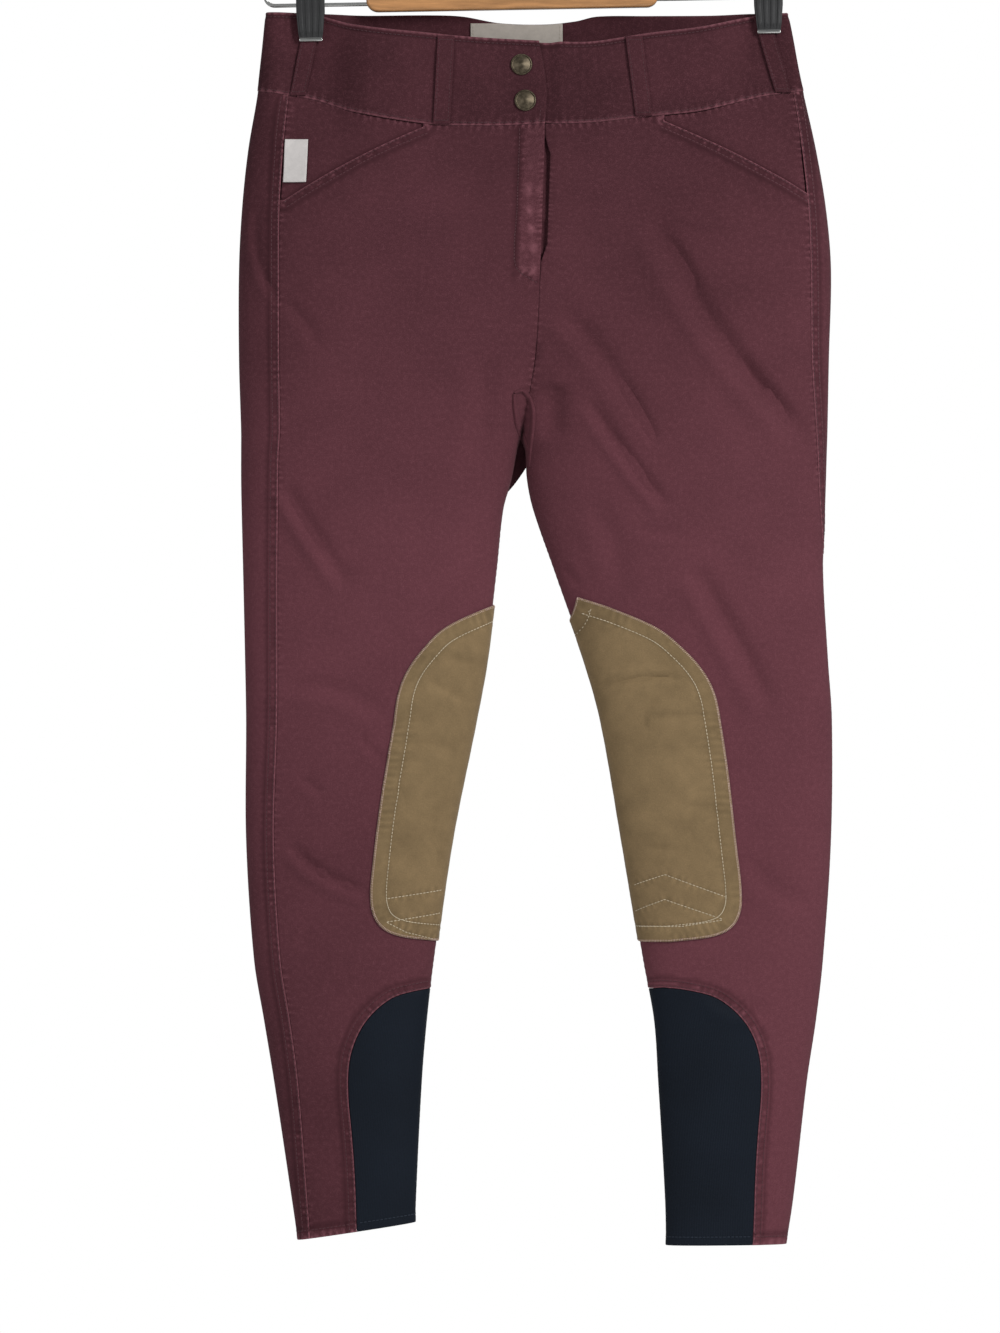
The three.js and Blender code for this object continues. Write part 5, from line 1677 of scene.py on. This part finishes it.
def make_jaws():
    """Folded steel jaws over the arms, each with a bright lip along its foot."""
    crown = ARM_LOWER + ARM_WIRE + GAP + JAW_PLATE / 2
    outside = JAW_REACH + 1.4
    half = [
        (0, crown),
        (2.9, crown - 0.4),
        (outside, crown - 6),
        (outside, JAW_BOTTOM + 6.4),
        (JAW_REACH + 0.9, JAW_BOTTOM + 1.2),
    ]
    profile = [(-u, z) for u, z in half[:0:-1]] + half
    for side, clip in CLIP_X.items():
        middle = clip + JAW_BOTTOM * math.sin(LEAN)
        foot_y, foot_z = profile[0]
        name = f"clip_{side}_jaws"
        bpy.ops.mesh.primitive_plane_add(size=1, location=(0, 0, 0))
        sheet = started(name)
        edited()
        bpy.ops.mesh.delete(type="ONLY_FACE")
        chosen(sheet, "VERT", lambda c, _: c.y > 0)
        bpy.ops.mesh.delete(type="VERT")
        bpy.ops.object.mode_set(mode="OBJECT")
        for vertex in sheet.data.vertices:
            x = math.copysign(LIP_WIDTH / 2 - 0.3, vertex.co.x)
            vertex.co = Vector((x, ARM_Y + foot_y, foot_z)) * MM
        bpy.ops.object.mode_set(mode="EDIT")
        bpy.ops.mesh.select_mode(type="EDGE")
        bpy.ops.mesh.select_all(action="SELECT")
        for (u0, z0), (u1, z1) in zip(profile, profile[1:]):
            pulled((0, u1 - u0, z1 - z0))
        bpy.ops.mesh.select_all(action="SELECT")
        bevelled(1.1, 3)
        bpy.ops.object.mode_set(mode="OBJECT")
        wall = sheet.modifiers.new("wall", "SOLIDIFY")
        wall.thickness = JAW_PLATE * MM
        wall.offset = 0
        bpy.ops.object.modifier_apply(modifier="wall")
        lips = []
        for sign in (-1, 1):
            lip_middle = 0, ARM_Y + sign * (JAW_REACH + LIP_DEPTH / 2), JAW_BOTTOM + LIP / 2
            lip = block_started(f"lip_{side}_{sign}", (LIP_WIDTH, LIP_DEPTH, LIP), lip_middle)
            edited()
            bevelled(0.7, 4)
            bpy.ops.object.mode_set(mode="OBJECT")
            lips.append(lip)
        only(sheet)
        for lip in lips:
            lip.select_set(True)
        bpy.context.view_layer.objects.active = sheet
        bpy.ops.object.join()
        place = TILT @ Matrix.Translation(Vector((middle * MM, 0, 0)))
        done(sheet, name, "chrome", place, 40)


def make_grips():
    """Black plastic grips with ribs, flared at the top where they are squeezed."""
    ups, outs, widths, thicks = (np.array([row[k] for row in GRIP], float) for k in range(4))
    for side, clip in CLIP_X.items():
        middle = clip + JAW_BOTTOM * math.sin(LEAN)
        for face, sign in (("front", -1), ("back", 1)):
            bpy.ops.mesh.primitive_grid_add(x_subdivisions=64, y_subdivisions=36, size=1, location=(0, 0, 0))
            name = f"clip_{side}_grip_{face}"
            grip = started(name)
            for vertex in grip.data.vertices:
                u, t = vertex.co.x, vertex.co.y + 0.5
                up = mix(ups[0], ups[-1], t)
                out = float(np.interp(up, ups, outs))
                thick = float(np.interp(up, ups, thicks))
                place = (u + 0.5) * RIBS % 1 - 0.5
                rib = 0.85 * float(smooth((0.3 - abs(place)) / 0.14)) * float(smooth(t / 0.08))
                bow = 0.25 * (1 - (2 * u) ** 2)
                depth = JAW_REACH + out + thick + rib + bow
                width = float(np.interp(up, ups, widths)) * (1 - 0.12 * max(0.0, t - 0.93) / 0.07)
                vertex.co = Vector((middle + u * width, ARM_Y + sign * depth, JAW_BOTTOM + up)) * MM
            wall = grip.modifiers.new("wall", "SOLIDIFY")
            wall.thickness = 1.3 * MM
            wall.offset = 1 if sign > 0 else -1
            edge = grip.modifiers.new("edge", "BEVEL")
            edge.width = 0.35 * MM
            edge.segments = 3
            edge.angle_limit = math.radians(60)
            done(grip, name, "grip", TILT, 40)


class Signal:
    """A socket of numbers that plain maths can be written with."""

    def __init__(self, finish, socket):
        self.finish, self.socket = finish, socket

    def maths(self, operation, a, b=None):
        values = {0: a} if b is None else {0: a, 1: b}
        return self.finish.node("ShaderNodeMath", {"operation": operation}, values)

    def __add__(self, other):
        return self.maths("ADD", self, other)

    def __radd__(self, other):
        return self.maths("ADD", other, self)

    def __sub__(self, other):
        return self.maths("SUBTRACT", self, other)

    def __rsub__(self, other):
        return self.maths("SUBTRACT", other, self)

    def __mul__(self, other):
        return self.maths("MULTIPLY", self, other)

    def __rmul__(self, other):
        return self.maths("MULTIPLY", other, self)

    def wave(self, length):
        """A sine whose waves have a length in millimetres."""
        return self.maths("SINE", self * (2 * math.pi / length))

    def held(self):
        """The signal kept between 0 and 1."""
        return self.maths("MINIMUM", self.maths("MAXIMUM", self, 0.0), 1.0)


class Finish:
    """A material made of nodes round one shader."""

    def __init__(self, name, roughness, metallic=0.0, **constants):
        self.material = bpy.data.materials.new(name)
        self.material.use_nodes = True
        self.tree = self.material.node_tree
        self.tree.nodes.clear()
        self.shader = self.tree.nodes.new("ShaderNodeBsdfPrincipled")
        out = self.tree.nodes.new("ShaderNodeOutputMaterial")
        self.tree.links.new(self.shader.outputs["BSDF"], out.inputs["Surface"])
        self.shader.inputs["Roughness"].default_value = roughness
        self.shader.inputs["Metallic"].default_value = metallic
        for key, value in constants.items():
            self.shader.inputs[key.replace("_", " ").title().replace("Ior", "IOR")].default_value = value
        FINISH[name] = self.material

    def put(self, node, values):
        for key, value in values.items():
            socket = node.inputs[key]
            if isinstance(value, Signal):
                self.tree.links.new(value.socket, socket)
            else:
                socket.default_value = value

    def node(self, kind, settings, values, output=0):
        node = self.tree.nodes.new(kind)
        for key, value in settings.items():
            setattr(node, key, value)
        self.put(node, values)
        return Signal(self, node.outputs[output])

    def feed(self, socket, signal):
        self.put(self.shader, {socket: signal})

    def cloth_place(self):
        """The cloth laid flat, as across and down in millimetres."""
        uv = self.node("ShaderNodeUVMap", {"uv_map": "cloth"}, {})
        across, fallen, _ = self.split(uv)
        return uv, across * 1000, fallen * 1000

    def object_place(self):
        return self.node("ShaderNodeTexCoord", {}, {}, output="Object")

    def split(self, place):
        split = self.tree.nodes.new("ShaderNodeSeparateXYZ")
        self.tree.links.new(place.socket, split.inputs[0])
        return tuple(Signal(self, split.outputs[k]) for k in range(3))

    def noise(self, place, size, detail=2.0, roughness=0.5, distortion=0.0):
        """Soft noise from 0 to 1 with lumps of a size in millimetres."""
        values = {
            "Vector": place,
            "Scale": 1000.0 / size,
            "Detail": detail,
            "Roughness": roughness,
            "Distortion": distortion,
        }
        return self.node("ShaderNodeTexNoise", {}, values)

    # Reads the attribute that holds wear and painted shade.
    def worn(self):
        return self.node("ShaderNodeAttribute", {"attribute_name": "worn"}, {}, output="Fac")

    def blend(self, share, a, b):
        """A colour between two others."""
        values = {0: share.held()}
        for index, colour in ((6, a), (7, b)):
            values[index] = colour if isinstance(colour, Signal) else (*colour, 1.0)
        return self.node("ShaderNodeMix", {"data_type": "RGBA"}, values, output=2)

    def bump(self, height, distance, strength=1.0):
        """Raises the surface by a height signal times a distance in millimetres."""
        values = {"Height": height, "Distance": distance * MM, "Strength": strength}
        self.feed("Normal", self.node("ShaderNodeBump", {}, values))


def tint(colour, factor):
    return tuple(channel * factor for channel in colour)


def twill(name, colour, faded_and_lit, fade_low, deep):
    """Cotton twill: fine diagonal ridges, a dry speckle, wear and painted shade along seams, a slow change of
    tone, and painted light that brightens the lower legs towards the right.
    """
    finish = Finish(name, 0.88, sheen_weight=0.04, sheen_roughness=0.4, specular_ior_level=0.1)
    place = finish.object_place()
    uv, across, fallen = finish.cloth_place()
    x, _, z = finish.split(place)
    ridges = (across + fallen * 1.35).wave(1.15)
    threads = (across * 1.2 - fallen * 0.4).wave(0.8)
    speckle = finish.noise(uv, 0.9, detail=3, roughness=0.7)
    fleck = finish.noise(uv, 3.4, detail=3, roughness=0.65)
    blotch = finish.noise(place, 48, detail=3, roughness=0.6)
    broad = finish.noise(place, 160, detail=1)
    low = ((z * -1.0 - 0.2) * 2.9).held()
    foot = ((z * -1.0 - 0.62) * 2.6).held()
    # Painted light: the lower legs are lightened towards the right side, and the feet are a little darker.
    painted_side_light = (x - 0.02) * foot * 2.6
    tone = low * fade_low + painted_side_light - foot * 0.2 + (blotch - 0.5) * 0.5 + (broad - 0.5) * 0.45 + 0.08
    base = finish.blend(tone, colour, faded_and_lit)
    worn = finish.worn()
    # The speckle, the attribute's wear and its painted shade lighten or darken the colour.
    light = (speckle - 0.5) * 0.75 + (fleck - 0.5) * 0.42 + worn * 0.5 + ridges * 0.05
    lit = finish.blend(light * 1.1, base, tuple(min(1.0, 2.0 * c + 0.03) for c in faded_and_lit))
    shaded = finish.blend(light * -0.9, lit, deep)
    finish.feed("Base Color", shaded)
    finish.feed("Roughness", 0.92 - worn.held() * 0.12)
    finish.bump(ridges * 0.35 + threads * 0.2 + speckle * 0.9 + fleck * 0.7, 0.16, 0.8)


def make_materials(look):
    burgundy = tuple(look.cloth_colour)
    faded_and_lit = tuple(look.faded_and_lit_colour)
    # The darkest tone, for dark speckle and painted shade.
    deep = tint(burgundy, 0.42)
    twill("twill", tint(burgundy, 0.86), faded_and_lit, 0.8, deep)
    twill("band", tint(burgundy, 0.66), faded_and_lit, 0.2, deep)

    suede = Finish("suede", 0.94, sheen_weight=0.16, sheen_roughness=0.4, specular_ior_level=0.12)
    tan = tuple(look.suede_colour)
    place = suede.object_place()
    uv, _, _ = suede.cloth_place()
    cloud = suede.noise(place, 34, detail=4, roughness=0.62, distortion=0.6)
    patchy = suede.noise(place, 9, detail=4, roughness=0.7)
    nap = suede.noise(uv, 1.1, detail=3, roughness=0.75)
    worn = suede.worn()
    tone = (cloud - 0.5) * 1.5 + (patchy - 0.5) * 1.0 + 0.5
    base = suede.blend(tone, tint(tan, 0.8), tint(tan, 1.16))
    # The nap, the attribute's wear and its painted shade lighten or darken the suede.
    light = (nap - 0.5) * 0.8 + worn * 0.6
    base = suede.blend(light, base, tint(tan, 1.9))
    base = suede.blend(light * -1.0, base, tint(tan, 0.4))
    suede.feed("Base Color", base)
    suede.bump(nap * 1.0 + patchy * 0.8, 0.22, 0.8)

    stretch = Finish("stretch", 0.7, sheen_weight=0.01, sheen_roughness=0.35, specular_ior_level=0.12)
    navy = tuple(look.stretch_colour)
    uv, across, fallen = stretch.cloth_place()
    rib = across.wave(1.3)
    loops = fallen.wave(0.9)
    fluff = stretch.noise(uv, 1.6, detail=3, roughness=0.7)
    broad = stretch.noise(stretch.object_place(), 60, detail=2)
    tone = (fluff - 0.5) * 0.9 + (broad - 0.5) * 0.8 + rib * 0.1 + 0.2
    stretch.feed("Base Color", stretch.blend(tone, tint(navy, 0.75), tint(navy, 1.5)))
    stretch.feed("Roughness", 0.56 + fluff * 0.16)
    stretch.bump(rib * 0.5 + loops * 0.25 + fluff * 0.5, 0.1, 0.7)

    for name in ("tab", "label"):
        colour = COLOUR[name]
        woven = Finish(name, 0.72, sheen_weight=0.15, sheen_roughness=0.4, specular_ior_level=0.3)
        uv, across, fallen = woven.cloth_place()
        warp = across.wave(0.55)
        weft = fallen.wave(0.42)
        grime = woven.noise(uv, 7, detail=4, roughness=0.65)
        tone = (grime - 0.5) * 1.4 + warp * 0.08 + weft * 0.08 + 0.5
        woven.feed("Base Color", woven.blend(tone, tint(colour, 0.82), tint(colour, 1.08)))
        woven.bump(warp * 0.4 + weft * 0.6 + grime * 0.3, 0.1, 0.7)

    for name, colour in (
        ("thread_body", tint(faded_and_lit, 0.62)),
        ("thread_band", tint(faded_and_lit, 0.45)),
        ("thread_hem", tint(navy, 2.4)),
        ("thread_knee", (0.62, 0.52, 0.37)),
        ("thread_edging", (0.6, 0.42, 0.36)),
        ("thread_label", (0.45, 0.4, 0.34)),
    ):
        thread = Finish(name, 0.7, sheen_weight=0.2, sheen_roughness=0.4, specular_ior_level=0.35)
        place = thread.object_place()
        ply = thread.noise(place, 0.7, detail=2)
        dust = thread.noise(place, 14, detail=2)
        tone = (ply - 0.5) * 1.2 + (dust - 0.5) * 1.2 + 0.5
        thread.feed("Base Color", thread.blend(tone, tint(colour, 0.72), tint(colour, 1.2)))
        thread.bump(ply, 0.12, 0.6)

    brass = Finish("brass", 0.38, 1.0)
    tone = tuple(look.snap_colour)
    place = brass.object_place()
    stain = brass.noise(place, 2.6, detail=4, roughness=0.7)
    scratch = brass.noise(place, 0.7, detail=3, roughness=0.8)
    brass.feed("Base Color", brass.blend((stain - 0.5) * 2.2 + 0.5, tint(tone, 0.3), tint(tone, 1.1)))
    brass.feed("Roughness", 0.3 + stain * 0.3 + scratch * 0.1)
    brass.bump(scratch * 0.6 + stain, 0.08, 0.6)

    chrome = Finish("chrome", 0.14, 1.0)
    smear = chrome.noise(chrome.object_place(), 5, detail=3)
    chrome.feed("Base Color", chrome.blend(smear, tint(COLOUR["steel"], 0.92), tint(COLOUR["steel"], 1.12)))
    chrome.feed("Roughness", 0.1 + smear * 0.14)

    grip = Finish("grip", 0.42, specular_ior_level=0.5)
    grain = grip.noise(grip.object_place(), 0.8, detail=3, roughness=0.7)
    grip.feed("Base Color", grip.blend(grain, (0.012, 0.012, 0.013), (0.03, 0.03, 0.031)))
    grip.feed("Roughness", 0.34 + grain * 0.2)
    grip.bump(grain, 0.05, 0.5)

    wood = Finish("wood", 0.36, coat_weight=0.35, coat_roughness=0.18)
    amber = COLOUR["wood"]
    turned = wood.node("ShaderNodeMapping", {}, {"Vector": wood.object_place(), "Scale": (0.09, 1.0, 1.0)})
    warp = wood.noise(turned, 26, detail=3, distortion=0.8)
    _, y, z = wood.split(turned)
    rings = (z * 1000 + y * 300 + warp * 26).wave(5.2)
    fibre = wood.noise(turned, 1.4, detail=4, roughness=0.7)
    tone = rings * 0.22 + (fibre - 0.5) * 1.1 + (warp - 0.5) * 0.9 + 0.5
    wood.feed("Base Color", wood.blend(tone, tint(amber, 0.68), tint(amber, 1.3)))
    wood.feed("Roughness", 0.3 + fibre * 0.14)
    wood.bump(fibre * 0.6 + rings * 0.2, 0.05, 0.5)


# The share of its box that the fly shield's rounded foot leaves.
SHIELD_SHARE = 0.93


def declare_cloth():
    """Works out the flat size and area of each cloth piece, and keeps nothing of them."""
    for name, (piece, cut) in PIECES.items():
        if cut is None:
            continue
        if isinstance(cut, Cut):
            low, high = cut.loops[0].min(axis=0), cut.loops[0].max(axis=0)
            width, length = (high - low) * MM
            area = area_of(cut.loops[0]) * MM * MM
        else:
            width, length = (value * MM for value in cut)
            area = width * length
            if name == "fly_shield":
                area *= SHIELD_SHARE
        folds = [PIECES[f"crotch_fold_{k + 1}"][0] for k in range(2)]
        folds if name == "crotch_gusset" else ()
        float(min(area, width * length))


# The photograph's frame: its middle and its height in metres, at the garment's plane.
CAMERA_X = -0.0076
CAMERA_Z = -0.6076
FRAME_HEIGHT = 1333 * 0.76 * MM
CAMERA_AWAY = 7.0
SENSOR = 36.0
FLOOR = -1.35


def make_stage(look):
    scene = bpy.context.scene
    camera = bpy.data.cameras.new("camera")
    camera.sensor_fit = "VERTICAL"
    camera.sensor_height = SENSOR
    camera.sensor_width = SENSOR
    camera.lens = SENSOR * CAMERA_AWAY / FRAME_HEIGHT
    camera.clip_end = 50
    eye = bpy.data.objects.new("camera", camera)
    eye.location = (CAMERA_X, -CAMERA_AWAY, CAMERA_Z)
    eye.rotation_euler = (math.radians(90), 0, 0)
    scene.collection.objects.link(eye)
    scene.camera = eye

    world = bpy.data.worlds.new("white room")
    world.use_nodes = True
    nodes, links = world.node_tree.nodes, world.node_tree.links
    nodes.clear()
    path = nodes.new("ShaderNodeLightPath")
    both = nodes.new("ShaderNodeMixShader")
    for index, colour, strength in ((1, (0.96, 0.98, 1, 1), look.room_light), (2, (1, 1, 1, 1), 1.0)):
        side = nodes.new("ShaderNodeBackground")
        side.inputs["Color"].default_value = colour
        side.inputs["Strength"].default_value = strength
        links.new(side.outputs[0], both.inputs[index])
    out = nodes.new("ShaderNodeOutputWorld")
    links.new(path.outputs["Is Camera Ray"], both.inputs[0])
    links.new(both.outputs[0], out.inputs[0])
    scene.world = world
    scene.view_settings.view_transform = "Standard"
    scene.view_settings.look = "None"

    for name, place, size, power in (
        ("key", (1.35, -1.45, 0.55), 0.8, look.key_light),
        ("fill", (-1.9, -2.2, 0.3), 1.6, look.key_light * 0.5),
        ("low", (0.6, -2.0, -1.7), 1.2, look.key_light * 0.14),
        ("back", (0.9, 2.0, 0.6), 1.2, look.key_light * 0.8),
    ):
        light = bpy.data.lights.new(name, "AREA")
        light.shape = "DISK"
        light.size = size
        light.energy = power
        lamp = bpy.data.objects.new(name, light)
        lamp.location = place
        aim = Vector((0, 0, CAMERA_Z)) - Vector(place)
        lamp.rotation_euler = aim.to_track_quat("-Z", "Y").to_euler()
        scene.collection.objects.link(lamp)

    bpy.ops.mesh.primitive_circle_add(vertices=96, radius=1.15, fill_type="NGON", location=(0, 0, FLOOR))
    floor = started("floor")
    pale = Finish("pale floor", 0.7)
    dust = pale.noise(pale.object_place(), 300, detail=2)
    pale.feed("Base Color", pale.blend(dust, (0.78, 0.78, 0.77), (0.82, 0.82, 0.81)))
    floor.data.materials.clear()
    floor.data.materials.append(FINISH["pale floor"])


class BreechesLook(PropertyGroup):
    """The colours and light that a user would change."""

    cloth_colour: FloatVectorProperty(
        name="Cloth colour", description="Colour of the twill where it is least faded",
        subtype="COLOR", size=3, min=0, max=1, default=COLOUR["cloth"],
    )
    # The faded colour also serves as the colour of the painted light on the lower legs.
    faded_and_lit_colour: FloatVectorProperty(
        name="Faded colour", description="Colour of the twill where it is worn and washed out",
        subtype="COLOR", size=3, min=0, max=1, default=(0.15, 0.048, 0.062),
    )
    suede_colour: FloatVectorProperty(
        name="Suede colour", description="Colour of the knee patches",
        subtype="COLOR", size=3, min=0, max=1, default=COLOUR["suede"],
    )
    stretch_colour: FloatVectorProperty(
        name="Stretch panel colour", description="Colour of the lower-leg panels",
        subtype="COLOR", size=3, min=0, max=1, default=COLOUR["stretch"],
    )
    snap_colour: FloatVectorProperty(
        name="Snap colour", description="Colour of the snap caps' brass",
        subtype="COLOR", size=3, min=0, max=1, default=COLOUR["snap"],
    )
    stitch_width: FloatProperty(
        name="Stitch width",
        description="Width of a topstitching thread",
        subtype="DISTANCE",
        unit="LENGTH",
        default=0.00075,
        min=0.0003,
        max=0.0015,
    )
    key_light: FloatProperty(
        name="Key light",
        description="Power of the main soft light",
        unit="POWER",
        default=31.0,
        min=0,
    )
    room_light: FloatProperty(
        name="Room light",
        description="Strength of the even light from all round",
        default=0.31,
        min=0,
    )


LENGTHS = ("hip", "thigh", "shin")
FINISH = {}
PIECES = {}
FLATS = {name: Flat(half, 1) for name, half in HALVES.items()}
WRAPS = {name: Flat(half, 0) for name, half in HALVES.items()}
THREADS = {
    "body": Thread("stitching_body", "thread_body"),
    "band": Thread("stitching_waistband", "thread_band"),
    "knee": Thread("stitching_knee", "thread_knee", 0.95),
    "edging": Thread("edging_knee", "thread_edging", 1.35),
    "hem": Thread("stitching_hem", "thread_hem", 0.92),
    "label": Thread("stitching_label", "thread_label", 0.8),
}


class BREECHES_OT_finishes(Operator):
    """Makes the finishes of cloth, thread, metal, wood and plastic"""

    bl_idname = "breeches.finishes"
    bl_label = "Finishes"

    def execute(self, context):
        make_materials(context.scene.breeches_look)
        return {"FINISHED"}


class BREECHES_OT_stage(Operator):
    """Makes the camera, the soft lights, the white room and the pale floor"""

    bl_idname = "breeches.stage"
    bl_label = "Studio"

    def execute(self, context):
        make_stage(context.scene.breeches_look)
        return {"FINISHED"}


class BREECHES_OT_fronts(Operator):
    """Makes the two fronts with the fly, pocket mouths and seams"""

    bl_idname = "breeches.fronts"
    bl_label = "Fronts"

    def execute(self, context):
        make_fronts()
        return {"FINISHED"}


class BREECHES_OT_backs(Operator):
    """Makes the two backs with their seams"""

    bl_idname = "breeches.backs"
    bl_label = "Backs"

    def execute(self, context):
        make_backs()
        return {"FINISHED"}


class BREECHES_OT_facings(Operator):
    """Makes the cloth behind the cut pocket mouths"""

    bl_idname = "breeches.facings"
    bl_label = "Pocket facings"

    def execute(self, context):
        make_facings()
        return {"FINISHED"}


class BREECHES_OT_knees(Operator):
    """Makes the suede patches sewn on over the knees"""

    bl_idname = "breeches.knees"
    bl_label = "Knee patches"

    def execute(self, context):
        make_knees()
        return {"FINISHED"}


class BREECHES_OT_calves(Operator):
    """Makes the stretch panels of the lower legs"""

    bl_idname = "breeches.calves"
    bl_label = "Calf panels"

    def execute(self, context):
        make_calves()
        return {"FINISHED"}


class BREECHES_OT_waistband(Operator):
    """Makes the waistband in its three parts"""

    bl_idname = "breeches.waistband"
    bl_label = "Waistband"

    def execute(self, context):
        make_waistband()
        return {"FINISHED"}


class BREECHES_OT_loops(Operator):
    """Makes the belt loops and their bar tacks"""

    bl_idname = "breeches.loops"
    bl_label = "Belt loops"

    def execute(self, context):
        make_loops()
        return {"FINISHED"}


class BREECHES_OT_fly_shield(Operator):
    """Makes the strip of cloth behind the fly"""

    bl_idname = "breeches.fly_shield"
    bl_label = "Fly shield"

    def execute(self, context):
        make_fly_shield()
        return {"FINISHED"}


class BREECHES_OT_crotch(Operator):
    """Makes the gusset, darkened with painted shade, and the small folds at the crotch"""

    bl_idname = "breeches.crotch"
    bl_label = "Crotch"

    def execute(self, context):
        make_crotch()
        return {"FINISHED"}


class BREECHES_OT_labels(Operator):
    """Makes the bare woven labels at the side and inside the back"""

    bl_idname = "breeches.labels"
    bl_label = "Labels"

    def execute(self, context):
        make_labels()
        return {"FINISHED"}


class BREECHES_OT_stitching(Operator):
    """Joins each kind of sewing thread into one piece"""

    bl_idname = "breeches.stitching"
    bl_label = "Stitching"

    def execute(self, context):
        make_stitching(context.scene.breeches_look)
        return {"FINISHED"}


class BREECHES_OT_snaps(Operator):
    """Makes the two brass snap caps"""

    bl_idname = "breeches.snaps"
    bl_label = "Snap caps"

    def execute(self, context):
        make_snaps()
        return {"FINISHED"}


class BREECHES_OT_bar(Operator):
    """Makes the varnished wooden bar"""

    bl_idname = "breeches.bar"
    bl_label = "Hanger bar"

    def execute(self, context):
        make_bar()
        return {"FINISHED"}


class BREECHES_OT_hook(Operator):
    """Makes the wire hook"""

    bl_idname = "breeches.hook"
    bl_label = "Hanger hook"

    def execute(self, context):
        make_hook()
        return {"FINISHED"}


class BREECHES_OT_arms(Operator):
    """Makes the wire arms at both ends of the bar"""

    bl_idname = "breeches.arms"
    bl_label = "Hanger arms"

    def execute(self, context):
        make_arms()
        return {"FINISHED"}


class BREECHES_OT_jaws(Operator):
    """Makes the steel jaws of both clips"""

    bl_idname = "breeches.jaws"
    bl_label = "Clip jaws"

    def execute(self, context):
        make_jaws()
        return {"FINISHED"}


class BREECHES_OT_grips(Operator):
    """Makes the ribbed plastic grips of both clips"""

    bl_idname = "breeches.grips"
    bl_label = "Clip grips"

    def execute(self, context):
        make_grips()
        return {"FINISHED"}


class BREECHES_OT_cloth_facts(Operator):
    """Works out the flat size and area of each cloth piece, and keeps nothing of them"""

    bl_idname = "breeches.cloth_facts"
    bl_label = "Cloth facts"

    def execute(self, context):
        declare_cloth()
        return {"FINISHED"}


STEPS = (
    BREECHES_OT_finishes,
    BREECHES_OT_stage,
    BREECHES_OT_fronts,
    BREECHES_OT_backs,
    BREECHES_OT_facings,
    BREECHES_OT_knees,
    BREECHES_OT_calves,
    BREECHES_OT_waistband,
    BREECHES_OT_loops,
    BREECHES_OT_fly_shield,
    BREECHES_OT_crotch,
    BREECHES_OT_labels,
    BREECHES_OT_stitching,
    BREECHES_OT_snaps,
    BREECHES_OT_bar,
    BREECHES_OT_hook,
    BREECHES_OT_arms,
    BREECHES_OT_jaws,
    BREECHES_OT_grips,
    BREECHES_OT_cloth_facts,
)


class BREECHES_PT_panel(Panel):
    """Lists the look's values and the steps that make the breeches"""

    bl_idname = "BREECHES_PT_panel"
    bl_label = "Breeches"
    bl_space_type = "VIEW_3D"
    bl_region_type = "UI"
    bl_category = "Breeches"

    def draw(self, context):
        for name in BreechesLook.__annotations__:
            self.layout.prop(context.scene.breeches_look, name)
        for step in STEPS:
            self.layout.operator(step.bl_idname)


CLASSES = (BreechesLook, *STEPS, BREECHES_PT_panel)


def register():
    for item in CLASSES:
        bpy.utils.register_class(item)
    bpy.types.Scene.breeches_look = PointerProperty(type=BreechesLook)


def unregister():
    del bpy.types.Scene.breeches_look
    for item in reversed(CLASSES):
        bpy.utils.unregister_class(item)


def main():
    register()
    for step in STEPS:
        getattr(bpy.ops.breeches, step.bl_idname.split(".")[1])()


if __name__ == "__main__":
    main()
